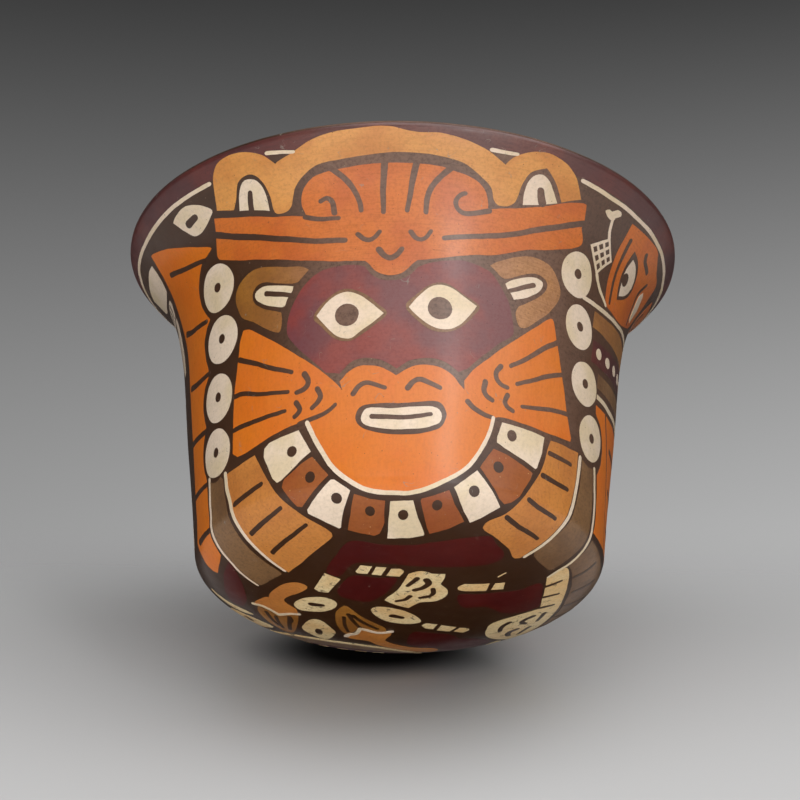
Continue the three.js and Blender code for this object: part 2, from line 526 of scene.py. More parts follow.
class Nodes:
    """A tree of shader nodes under construction, with its coordinates"""

    def __init__(self, tree, coordinates):
        self.tree = tree
        self.tree.nodes.clear()
        self.place = self.node("ShaderNodeTexCoord").outputs[coordinates]

    def node(self, kind, **settings):
        """A new node"""
        made = self.tree.nodes.new(kind)
        for key, value in settings.items():
            setattr(made, key, value)
        return made

    def feed(self, socket, value):
        """Give a socket another socket's value, a colour or a plain value"""
        if isinstance(value, bpy.types.NodeSocket):
            self.tree.links.new(value, socket)
        elif isinstance(value, Color):
            socket.default_value = (*value, 1)
        else:
            socket.default_value = value

    def axes(self):
        """The coordinates' separate X, Y and Z"""
        parts = self.node("ShaderNodeSeparateXYZ")
        self.feed(parts.inputs["Vector"], self.place)
        return parts.outputs

    def ramp(self, value, low, high, to_low=0.0, to_high=1.0, kind="SMOOTHSTEP"):
        """A value that goes from to_low to to_high while another goes from low to high"""
        span = self.node("ShaderNodeMapRange", interpolation_type=kind)
        self.feed(span.inputs["Value"], value)
        ends = {"From Min": low, "From Max": high, "To Min": to_low, "To Max": to_high}
        for key, end in ends.items():
            self.feed(span.inputs[key], end)
        return span.outputs["Result"]

    def maths(self, operation, first, second=0.0):
        """A sum of two values, or of one"""
        sums = self.node("ShaderNodeMath", operation=operation)
        self.feed(sums.inputs[0], first)
        self.feed(sums.inputs[1], second)
        return sums.outputs["Value"]

    def either(self, share, first, second):
        """The first of two shaders at a share of 0, the second at 1"""
        mix = self.node("ShaderNodeMixShader")
        for socket, value in zip(mix.inputs, (share, first, second)):
            self.feed(socket, value)
        return mix.outputs["Shader"]

    def close(self, kind, shader):
        """Lead a shader to the tree's output"""
        self.feed(self.node(kind).inputs["Surface"], shader)


class Look(Nodes):
    """A material under construction, on Object coordinates"""

    def __init__(self, name):
        self.material = bpy.data.materials.new(name)
        self.material.use_nodes = True
        super().__init__(self.material.node_tree, "Object")

    def noise(self, size_mm, detail=3.0, stretch=(1, 1, 1), roughness=0.55, distortion=0.0):
        """Cloudy values about 0.5, whose clouds are about size_mm across"""
        mapping = self.node("ShaderNodeMapping")
        self.feed(mapping.inputs["Vector"], self.place)
        self.feed(mapping.inputs["Scale"], stretch)
        cloud = self.node("ShaderNodeTexNoise")
        self.feed(cloud.inputs["Vector"], mapping.outputs["Vector"])
        self.feed(cloud.inputs["Scale"], 1 / (size_mm * MM))
        self.feed(cloud.inputs["Detail"], detail)
        self.feed(cloud.inputs["Roughness"], roughness)
        self.feed(cloud.inputs["Distortion"], distortion)
        return cloud.outputs["Fac"]

    def specks(self, spacing_mm, radius_mm, share):
        """Small round spots, one in a share of the cells of a net"""
        cells = self.node("ShaderNodeTexVoronoi")
        self.feed(cells.inputs["Vector"], self.place)
        self.feed(cells.inputs["Scale"], 1 / (spacing_mm * MM))
        size = radius_mm / spacing_mm
        spot = self.ramp(cells.outputs["Distance"], size * 0.7, size, 1.0, 0.0)
        parts = self.node("ShaderNodeSeparateColor")
        self.feed(parts.inputs["Color"], cells.outputs["Color"])
        chosen = self.maths("LESS_THAN", parts.outputs["Red"], share)
        return self.maths("MULTIPLY", spot, chosen)

    def scratches(self, size_mm, half_width, stretch):
        """Hair-thin lines along the middle values of a noise, broken up by a second noise"""
        path = self.noise(size_mm, detail=1.5, stretch=stretch)
        off = self.maths("ABSOLUTE", self.maths("SUBTRACT", path, 0.5))
        line = self.ramp(off, half_width * 0.5, half_width, 1.0, 0.0)
        whole = self.ramp(self.noise(size_mm * 0.7, detail=2), 0.60, 0.66)
        return self.maths("MULTIPLY", line, whole)

    def blend(self, amount, first, second):
        """The first of two colours at an amount of 0, the second at 1"""
        mix = self.node("ShaderNodeMix", data_type="RGBA")
        self.feed(mix.inputs["Factor"], amount)
        self.feed(mix.inputs[6], first)
        self.feed(mix.inputs[7], second)
        return mix.outputs[2]

    def bump(self, height, depth_mm, normal=None):
        """Relief of a depth, on top of other relief"""
        bump = self.node("ShaderNodeBump")
        self.feed(bump.inputs["Distance"], depth_mm * MM)
        self.feed(bump.inputs["Strength"], 1.0)
        self.feed(bump.inputs["Height"], height)
        if normal:
            self.feed(bump.inputs["Normal"], normal)
        return bump.outputs["Normal"]

    def surface(self, colour, roughness, normal, ior, polish):
        """The finished material"""
        shader = self.node("ShaderNodeBsdfPrincipled")
        self.feed(shader.inputs["Base Color"], colour)
        self.feed(shader.inputs["Roughness"], roughness)
        self.feed(shader.inputs["Normal"], normal)
        self.feed(shader.inputs["IOR"], ior)
        self.feed(shader.inputs["Coat Weight"], polish)
        self.feed(shader.inputs["Coat Roughness"], POLISH_ROUGHNESS)
        self.close("ShaderNodeOutputMaterial", shader.outputs["BSDF"])
        return self.material


def written(colour, darker=0.0):
    """A colour as it is written, made linear for the shader and darkened by a share"""
    linear = Color(colour).from_srgb_to_scene_linear()
    return Color([channel * (1 - darker) for channel in linear])


def slip_look(name, colour, cloud, speck, speck_share, cloud_share=0.6, wear=0.0, worn=(0.55, 0.52, 0.47),
              streak=0.2, along=ALMOST_LEVEL, grain=0.35, underneath=None, rub_from=0.60, painted_sheen=0.07):
    """Burnished slip: clouds of a second colour, a painted sheen over the front, streaks of the brush,
    pits, chips and rubbed places
    """
    look = Look(name)
    axes = look.axes()
    clouds = look.ramp(look.noise(16, detail=4), 0.40, 0.66, 0, cloud_share)
    shade = look.blend(clouds, written(colour), written(cloud))
    if underneath:
        low = look.ramp(axes["Z"], *UNDERNEATH_FADE, 1.0, 0.0)
        shade = look.blend(low, shade, written(underneath))
    # Painted sheen: the slips turn paler over the upper front, most in the middle, as a painted reflection
    # of light
    sheen_mask = look.ramp(axes["X"], *SHEEN_LEFT, 0, painted_sheen)
    for side in (look.ramp(axes["X"], *SHEEN_RIGHT, 1.0, SHEEN_PAST_RIGHT),
                 look.ramp(axes["Y"], *SHEEN_FRONT), look.ramp(axes["Z"], *SHEEN_UP)):
        sheen_mask = look.maths("MULTIPLY", sheen_mask, side)
    shade = look.blend(sheen_mask, shade, written(PAINTED_SHEEN_COLOUR))
    streaks = look.noise(5, detail=4, stretch=along)
    shade = look.blend(look.ramp(streaks, 0.42, 0.72, 0, streak), shade, written(colour, 0.40))
    fine = look.noise(0.9, detail=3, roughness=0.7)
    shade = look.blend(look.ramp(fine, 0.42, 0.70, 0, grain), shade, written(cloud, 0.45))
    pits = look.specks(1.7, 0.17, speck_share)
    shade = look.blend(look.maths("MULTIPLY", pits, PIT_SHARE), shade, written(speck))
    chips = look.maths("MAXIMUM", look.specks(9, 0.36, 0.25), look.specks(3.1, 0.16, 0.10))
    chips = look.maths("MAXIMUM", chips, look.scratches(7, 0.005, (1, 3, 1)))
    shade = look.blend(look.maths("MULTIPLY", chips, CHIP_SHARE), shade, written(worn))
    height = look.maths("ADD", look.maths("MULTIPLY", streaks, 0.5), look.maths("MULTIPLY", fine, 0.25))
    height = look.maths("SUBTRACT", height, pits)
    rough = look.ramp(look.noise(7, detail=3), 0.3, 0.7, *SLIP_ROUGHNESS)
    if wear:
        low = look.ramp(axes["Z"], *WEAR_FADE, wear, 0.0)
        patches = look.noise(2.6, detail=6, roughness=0.75, distortion=0.6)
        rubbed = look.maths("MULTIPLY", low, look.ramp(patches, rub_from, rub_from + 0.07))
        shade = look.blend(rubbed, shade, written(worn))
        rough = look.maths("ADD", rough, look.maths("MULTIPLY", rubbed, RUBBED_ROUGHER))
    swell = look.bump(look.noise(22, detail=1), 0.22)
    return look.surface(shade, rough, look.bump(height, 0.018, swell), SLIP_IOR, POLISH)


def clay_look(name, colour):
    """Bare fired clay, scraped and wiped smooth, with darker fire clouds and marks of the scraper"""
    look = Look(name)
    clouds = look.ramp(look.noise(38, detail=4), 0.40, 0.70, 0, 0.75)
    shade = look.blend(clouds, written(colour), written(colour, 0.45))
    scrapes = look.noise(9, detail=4, stretch=(1, 1, 12), roughness=0.65)
    shade = look.blend(look.ramp(scrapes, 0.4, 0.75, 0, 0.35), shade, written(colour, 0.35))
    grit = look.specks(1.9, 0.20, 0.25)
    shade = look.blend(look.maths("MULTIPLY", grit, GRIT_SHARE), shade, written(PALE_GRIT))
    height = look.maths("SUBTRACT", look.maths("MULTIPLY", scrapes, 1.6), grit)
    rough = look.ramp(look.noise(6, detail=3), 0.3, 0.7, *CLAY_ROUGHNESS)
    swell = look.bump(look.noise(26, detail=1, stretch=(1, 1, 2.5)), 0.5)
    return look.surface(shade, rough, look.bump(height, 0.05, swell), CLAY_IOR, 0.0)


# Each slip of the palette: its look's name, its slot, and its finish
SLIPS = {
    "ground": ("ground_brown", "ground_slip", dict(
        cloud=(0.285, 0.17, 0.08), cloud_share=0.7, speck=PALE_SPECK, speck_share=0.10, wear=0.6,
        worn=(0.42, 0.33, 0.25), underneath=(0.25, 0.14, 0.06), rub_from=0.66, painted_sheen=0.18, grain=0.5)),
    "line": ("line_brown", "dark_line_slip", dict(
        cloud=(0.29, 0.175, 0.09), speck=(0.12, 0.07, 0.05), speck_share=0.08, painted_sheen=0.17)),
    "cream": ("cream", "cream_slip", dict(
        cloud=(0.86, 0.77, 0.60), cloud_share=0.7, speck=(0.45, 0.34, 0.22), speck_share=0.30,
        streak=0.12, grain=0.22)),
    "aged_cream": ("aged_cream", "cream_slip", dict(
        cloud=(0.87, 0.66, 0.38), speck=(0.30, 0.22, 0.16), speck_share=0.35, wear=0.9,
        worn=(0.30, 0.24, 0.20), streak=0.15, rub_from=0.57)),
    "orange": ("orange", "orange_slip", dict(
        cloud=(0.86, 0.42, 0.06), speck=(0.50, 0.24, 0.06), speck_share=0.22, streak=0.16,
        along=UPRIGHT, grain=0.18)),
    "red": ("orange_red", "red_slip", dict(
        cloud=(0.74, 0.33, 0.10), speck=(0.40, 0.17, 0.07), speck_share=0.30, streak=0.30,
        along=LEVEL, grain=0.30)),
    "brick": ("brick_red", "red_slip", dict(
        cloud=(0.58, 0.26, 0.09), speck=(0.85, 0.70, 0.45), speck_share=0.30, grain=0.3)),
    "tan": ("tan", "tan_slip", dict(
        cloud=(0.76, 0.46, 0.19), cloud_share=0.7, speck=(0.42, 0.24, 0.10), speck_share=0.35,
        streak=0.25, along=LEVEL, grain=0.28)),
    "brown_tan": ("brown_tan", "tan_slip", dict(
        cloud=(0.72, 0.43, 0.18), cloud_share=0.7, speck=(0.40, 0.24, 0.12), speck_share=0.30, wear=0.2,
        worn=(0.46, 0.30, 0.18), along=UPRIGHT)),
    "ear_brown": ("ear_brown", "tan_slip", dict(
        cloud=(0.54, 0.33, 0.12), cloud_share=0.8, speck=(0.30, 0.18, 0.09), speck_share=0.35,
        streak=0.35, along=LEVEL, painted_sheen=0.24)),
    "grey_brown": ("grey_brown", "grey_brown_slip", dict(
        cloud=(0.40, 0.27, 0.16), cloud_share=0.7, speck=(0.24, 0.16, 0.10), speck_share=0.25,
        grain=0.5)),
    "maroon": ("maroon", "maroon_slip", dict(
        cloud=(0.55, 0.17, 0.14), cloud_share=0.8, speck=(0.24, 0.11, 0.11), speck_share=0.2,
        streak=0.12, grain=0.3, painted_sheen=0.09)),
    "dark_maroon": ("dark_maroon", "maroon_slip", dict(
        cloud=(0.40, 0.17, 0.14), cloud_share=0.8, speck=(0.20, 0.10, 0.10), speck_share=0.2,
        streak=0.4, along=LEVEL, grain=0.4)),
    "deep_maroon": ("deep_maroon", "maroon_slip", dict(
        cloud=(0.36, 0.08, 0.05), cloud_share=0.7, speck=PALE_SPECK, speck_share=0.10, wear=0.4,
        worn=(0.40, 0.27, 0.21))),
}


class Painter:
    """Holds the surface and the palette, so that one line paints one film"""

    shared = None

    def __init__(self, context):
        self.surface = Surface(context.scene.cup_sizes)
        colours = context.scene.slip_colours
        self.slips = {slip: (slip_look(name, getattr(colours, slip), **finish), slot)
                      for slip, (name, slot, finish) in SLIPS.items()}

    @classmethod
    def ready(cls, context):
        """The one painter, made when the first operator asks for it"""
        if cls.shared is None:
            cls.shared = cls(context)
        return cls.shared

    def paint(self, name, slip, outlines, layer=1, chart="wall"):
        """Paint outlines in a slip, a layer higher for each film that they lie on"""
        return film(self.surface, name, outlines, *self.slips[slip], layer, chart)

    def under(self, name, slip, outlines, layer=1):
        """Paint outlines on the underside"""
        return self.paint(name, slip, outlines, layer, "underside")


# The cup itself

class CUP_OT_clay(bpy.types.Operator):
    """Turn the four stages of the clay wall: dish, lower course, upper course and flared rim"""

    bl_idname = "cup.clay"
    bl_label = "Clay Wall"

    def execute(self, context):
        surface = Painter.ready(context).surface
        profile, sizes = surface.profile, context.scene.cup_sizes
        look = clay_look("fired_clay", context.scene.slip_colours.clay)
        limits = [0, profile.corner, profile.joint, profile.flare, profile.end]
        nodes = ["base_dish", "lower_wall_coil", "upper_wall_coil", "flared_rim"]
        for node, low, high in zip(nodes, limits, limits[1:]):
            outer = [profile.clay_at(s) for s in profile.stations(low, high)]
            inner_high = profile.lip if node == "flared_rim" else high + sizes.scarf
            inner_low = low + sizes.scarf if low else 0
            inner = [profile.inside_at(s) for s in profile.stations(inner_low, inner_high)]
            if not low:
                outer[0].x = inner[0].x = 0
            if node == "flared_rim":
                inner.pop()
            turned(surface, node.replace("_coil", "_course") + "_clay", outer, inner[::-1], look,
                   "fired_clay", node)
        return {"FINISHED"}


class CUP_OT_coats(bpy.types.Operator):
    """Turn the coats of slip: ground, underside, cream line and band of the lip"""

    bl_idname = "cup.coats"
    bl_label = "Slip Coats"

    def execute(self, context):
        painter = Painter.ready(context)
        profile = painter.surface.profile
        join = profile.length_at(COAT_JOIN_HEIGHT)
        line = profile.length_at(LINE_LOW_HEIGHT)
        band = profile.length_at(LINE_HIGH_HEIGHT)
        coats = [
            ("underside_coat", 0, join, "ground", "underside_slip"),
            ("ground_coat", join, line, "ground", "ground_slip"),
            ("lip_line", line, band, "ground", "lip_line_slip"),
            ("lip_band", band, profile.crest, "dark_maroon", "lip_band_slip"),
        ]
        for name, low, high, slip, node in coats:
            marks = profile.stations(low, high)
            outer = [profile.clay_at(s, COAT_FACE * MM) for s in marks]
            inner = [profile.clay_at(s) for s in marks[::-1]]
            turned(painter.surface, name, outer, inner, *painter.slips[slip], node)
        return {"FINISHED"}


class CUP_OT_lip_paint(bpy.types.Operator):
    """Paint the cream line under the lip, its dashes and the dark edge of the lip"""

    bl_idname = "cup.lip_paint"
    bl_label = "Lip Paint"

    # In mm on the wall chart, and counts
    LINE = 1.05
    BACK_FROM = 104
    BACK_STRETCH = 19.4
    BACK_STRETCHES = 10
    BACK_OVERLAP = 0.3
    BACK_HEIGHT = 164.3
    BACK_RISE = 0.75
    EDGE_LOW = 170.9
    EDGE_HIGH = 171.7
    EDGE_STRETCH = 19.8
    EDGE_STRETCHES = 20

    def execute(self, context):
        painter = Painter.ready(context)
        painter.paint("lip_cream_line", "cream", [
            stroke(self.LINE, (-49, 163.9), (-58, 163.9), (-70, 163.9), (-80, 164), (-90, 164.6),
                   (-100, 165.2)),
            stroke(self.LINE, (44, 163.9), (50, 163.6), (57, 163.3), (65, 163.4), (75, 163.8), (90, 163.9),
                   (104, 164.2)),
            *[self.back_stretch(k) for k in range(self.BACK_STRETCHES)]], 2)
        painter.paint("lip_dashes", "cream", [
            stroke(1.0, (-31.5, 166.3), (-28, 165.6), (-25.3, 165)),
            stroke(1.0, (19.8, 165), (23, 165), (25.7, 165.2))], 2)
        lows = [self.EDGE_STRETCH * k - GIRTH / 2 for k in range(self.EDGE_STRETCHES)]
        painter.paint("lip_dark_edge", "line", [
            corners((low, self.EDGE_LOW), (low + self.EDGE_STRETCH, self.EDGE_LOW),
                    (low + self.EDGE_STRETCH, self.EDGE_HIGH), (low, self.EDGE_HIGH))
            for low in lows], 2)
        return {"FINISHED"}

    def back_stretch(self, k):
        """A stretch of the cream line round the back, where it rises a little all the way"""
        rise = self.BACK_RISE / (self.BACK_STRETCHES * self.BACK_STRETCH)
        start = self.BACK_FROM + self.BACK_STRETCH * k - self.BACK_OVERLAP
        end = self.BACK_FROM + self.BACK_STRETCH * (k + 1) + self.BACK_OVERLAP
        ends = [(u, self.BACK_HEIGHT + rise * (u - self.BACK_FROM)) for u in (start, end)]
        return stroke(self.LINE, *ends)


class CUP_OT_headdress(bpy.types.Operator):
    """Paint the headdress: tan crest, pale teeth, red fan and headband"""

    bl_idname = "cup.headdress"
    bl_label = "Headdress"

    def execute(self, context):
        painter = Painter.ready(context)
        painter.paint("headdress_crest", "tan", [outline(
            [(-51, 156), (-48.5, 162), (-46.5, 166), (-44, 168.2), (-40, 169.1), (-36.5, 168.5),
             (-33, 166.3), (-31, 163.8), (-30.2, 162.6)],
            [(-30.2, 162.6), (-28, 164.2), (-25, 165.2), (-21, 167.3), (-16, 168.7), (-10, 169.3),
             (-4, 169.5), (2, 168), (8, 167.9), (13, 166.9), (18, 165.1), (22, 162.6), (23.7, 161.4)],
            [(23.7, 161.4), (25, 164), (28, 166.3), (31, 167.5), (34, 167.8), (38, 166.8), (42, 163.8),
             (46.3, 158.8)],
            [(41.4, 155.8), (38, 159.8), (34.5, 163.2), (33.3, 163.2), (30.3, 161), (29.2, 157), (29, 153),
             (28.5, 151.2), (27, 149.9), (24.5, 149.6), (23, 151), (21.5, 154.3), (18, 157.3),
             (14, 159.8), (9, 161.2), (3, 161.8), (-3, 161.8), (-9, 161.2), (-15, 160.7), (-20, 160.2),
             (-24, 158), (-27, 155), (-28.3, 152), (-29.2, 149.6), (-31, 148.5), (-33.5, 148.8),
             (-34.4, 150.5), (-34.5, 154), (-35, 158), (-36.3, 161), (-38.5, 162), (-41.5, 160.6),
             (-44, 156.5), (-45.9, 154)])])
        painter.paint("headdress_teeth", "cream", [
            outline([(-44.3, 153.2), (-42.5, 157.5), (-40.3, 160.3), (-38.5, 160.6), (-36.5, 159.3),
                     (-35.6, 156), (-35.6, 150.3)], [(-40, 151.7)]),
            outline([(31, 151.4), (30.4, 155), (30.6, 158.5), (31.8, 160.7), (33.6, 161.5), (35.8, 160.3),
                     (38, 157.8), (40.3, 155.2)], [(37.3, 153.8)], [(34.9, 152.7)])])
        painter.paint("headdress_notches", "line", [
            corners((-31.5, 165.5), (-26, 164.6), (-30.2, 162.8)),
            corners((20.5, 164.5), (25.2, 164.5), (23.6, 161.5)),
            stroke(1.4, (-40.7, 151.8), (-40.3, 154), (-39.5, 156.7)),
            stroke(1.9, (36.1, 153.7), (35.3, 155.2), (34.6, 157))], 2)
        painter.paint("fan_and_headband", "red", [outline(
            [(-25.8, 146.8), (-26.4, 150), (-25.3, 153.5), (-22.8, 156.3), (-19.8, 157.5), (-14, 158.2),
             (-8, 158.6), (0, 158.7), (8, 158.4), (12, 157.3), (17, 155.9), (20, 153.5), (21.7, 150),
             (22, 148.3)],
            [(22.5, 148), (30, 150.2), (36, 152.6), (42, 155.8), (47.5, 158.2), (48.7, 158)],
            [(50.3, 153.7)],
            [(50.5, 151.5), (52.3, 148.5), (51.5, 146.3), (47, 143.8), (40, 140.8), (35, 139.3),
             (30, 137.2), (25, 135.2), (20, 134.2), (15, 133), (10, 131.8), (4, 130.8)],
            [(3, 130), (1, 128), (-0.5, 126.9), (-3, 126.3), (-5.5, 126.6), (-7.5, 127.8), (-9, 129.8)],
            [(-10, 130.8), (-15, 131.3), (-20, 131.8), (-25, 132.8), (-30, 134), (-35, 135.5), (-40, 136.8),
             (-47.5, 139.3), (-54.2, 142), (-56.2, 143.4), (-55.8, 146), (-53, 154.3)],
            [(-53, 154.3), (-45, 151.5), (-35, 148.3), (-25.8, 146.2)])])
        painter.paint("headband_lines", "line", [
            stroke(1.2, (-26, 146), (-22, 144.6), (-17, 144.2)),
            stroke(1.3, (22.5, 147.5), (17, 145.8), (14.5, 146.2), (13.3, 148.5), (14.2, 150.7),
                   (15.5, 151.5)),
            stroke(1.3, (-18, 145.8), (-18.2, 149), (-19.5, 150.3), (-21.3, 149.6)),
            stroke(1.4, (-17.5, 158.8), (-13.5, 154), (-11.5, 149), (-11, 145.8)),
            stroke(1.4, (-4.6, 159), (-5, 151), (-5.2, 144.8)),
            stroke(1.3, (2.9, 159), (1.8, 151), (0.9, 145.3)),
            stroke(1.4, (11.5, 158.6), (7.5, 153.5), (6, 149.5), (5.8, 145)),
            stroke(1.6, (-57, 151), (-50, 147.5), (-40, 143.5), (-30, 140.2), (-22, 138.2), (-15.5, 137.5)),
            stroke(1.5, (50.5, 153), (42, 148.5), (32, 143.5), (22, 140.2), (11, 138)),
            stroke(1.2, (-12, 138.8), (-10.5, 137.4), (-9, 136.9), (-7.5, 137.6), (-6.2, 139.2)),
            stroke(1.2, (2, 139.2), (3.3, 137.5), (4.8, 137), (6.2, 137.8), (7.3, 139.6)),
            stroke(1.5, (-6.3, 134), (-5, 132.2), (-3.3, 131.4), (-1.5, 132.3), (-0.2, 134))], 2)
        return {"FINISHED"}


class CUP_OT_mask(bpy.types.Operator):
    """Paint the mask: maroon brows, eyes and ears"""

    bl_idname = "cup.mask"
    bl_label = "Mask"

    def execute(self, context):
        painter = Painter.ready(context)
        painter.paint("mask", "maroon", [outline(
            [(-10.2, 129.1), (-13, 129.8), (-17, 130), (-22, 129.2), (-26, 127.2), (-29.5, 123.5),
             (-32, 119), (-33.2, 114.5), (-33, 111.5), (-31, 108.5), (-28, 105), (-24.5, 101.5),
             (-21.5, 98.3)],
            [(-17.5, 97.5), (-14, 100.5), (-9.5, 101.5), (-5, 100.4), (-1.3, 98)],
            [(-1.3, 98), (2.5, 100.5), (7.5, 101.4), (12, 100.6), (16, 98)],
            [(18.5, 99.3), (23, 104), (28, 108.8), (31.3, 111.5), (32.2, 113.5), (31.5, 117.5), (30, 122),
             (27.5, 126), (25, 129.3), (22, 130.8), (17, 131.8), (12, 131.2), (7, 130), (4.2, 128.8)],
            [(2.2, 126.7), (0, 125.2), (-3, 124.7), (-6, 125), (-8.4, 126.5)])])
        painter.paint("eye_rings", "grey_brown", [
            loop((-24.9, 115.5), (-21.3, 120.1), (-16, 122.8), (-10.8, 121.2), (-7, 117.7), (-4.2, 114.7),
                 (-7.6, 111.2), (-11.2, 108.6), (-15, 106.9), (-19.3, 108.3), (-22.7, 112.2)),
            loop((1, 116.6), (4.2, 120.8), (8, 123.8), (12, 124.3), (17.3, 121.6), (21.5, 118.8),
                 (19.9, 115.5), (16.7, 112), (13, 109.9), (9, 109.7), (5.2, 111.7))], 2)
        painter.paint("eye_whites", "cream", [
            outline([(-24, 115.7), (-21, 119.4), (-18, 121.3), (-15, 121.9), (-11.5, 120.5), (-8, 117.3),
                     (-5.1, 114.7)],
                    [(-5.1, 114.7), (-8, 112), (-11.5, 109.6), (-14, 107.8), (-16.5, 107.9), (-19, 109.3),
                     (-22, 112.8), (-24, 115.7)]),
            outline([(1.8, 116.5), (4.5, 120), (7.5, 122.8), (10.5, 123.7), (14, 122.9), (18, 120.5),
                     (20.7, 118.7)],
                    [(20.7, 118.7), (19.5, 116.5), (16.5, 112.8), (13.5, 110.8), (10, 110.5), (6.5, 112),
                     (3.5, 114.5), (1.8, 116.5)])], 3)
        painter.paint("pupils", "ground", [disc(-15.3, 114.9, 3.4), disc(10.3, 116.7, 3.4)], 4)
        painter.paint("ears", "ear_brown", [
            outline([(-26, 130.3), (-28.5, 131.8), (-33, 132.6), (-38, 134), (-43, 134.8), (-47, 133.8),
                     (-50, 131.5), (-51.3, 128.5), (-50.6, 125), (-48.8, 121.8), (-45, 119.3),
                     (-41, 116.2), (-37, 113.7), (-35.5, 113.8), (-34.8, 117), (-35, 119.3)],
                    [(-35, 119.3), (-38, 120.6), (-41, 122.2), (-44, 124.8), (-44.6, 127.5), (-43, 129.6),
                     (-40, 129.9), (-36, 128.6), (-31.5, 127.2), (-29.5, 127.3)]),
            outline([(24.2, 131.8), (26, 133.2), (30, 135.5), (35, 137.3), (39, 137.7), (43, 136.8),
                     (46, 134), (47.5, 130.5), (46.3, 126.5), (43.5, 122.5), (40, 119.3), (36.5, 116),
                     (34.5, 115.3), (33.2, 116.5), (32.6, 119.5), (33.5, 121.5)],
                    [(33.5, 121.5), (36.5, 123.8), (40, 126.5), (42.3, 129.5), (42.2, 131.8), (40, 133),
                     (37, 132.8), (32.5, 130.8), (28.5, 128.8), (25.2, 131)])])
        painter.paint("ear_linings", "cream", [
            outline([(-31, 126.2), (-35, 127.6), (-39, 128.6), (-42, 128.5), (-43.6, 127.4), (-43.3, 125.6),
                     (-41, 123.6), (-38, 122), (-34.6, 120.8), (-33.5, 121.2)],
                    [(-33.5, 121.2), (-33, 122.8), (-31.3, 125)]),
            outline([(28.9, 127.3), (31, 129.2), (35, 131), (38.5, 131.8), (40.8, 131.2), (40.6, 129.2),
                     (38.8, 127), (35.5, 124.8), (31.8, 123)],
                    [(31.8, 123), (30.8, 124.6), (29.7, 125.8)])])
        painter.paint("ear_slits", "line", [
            stroke(1.3, (-39.6, 126.3), (-36, 125.2), (-31.4, 123.5)),
            stroke(1.3, (37.8, 129.3), (34, 127.5), (30.3, 125.4))], 2)
        return {"FINISHED"}


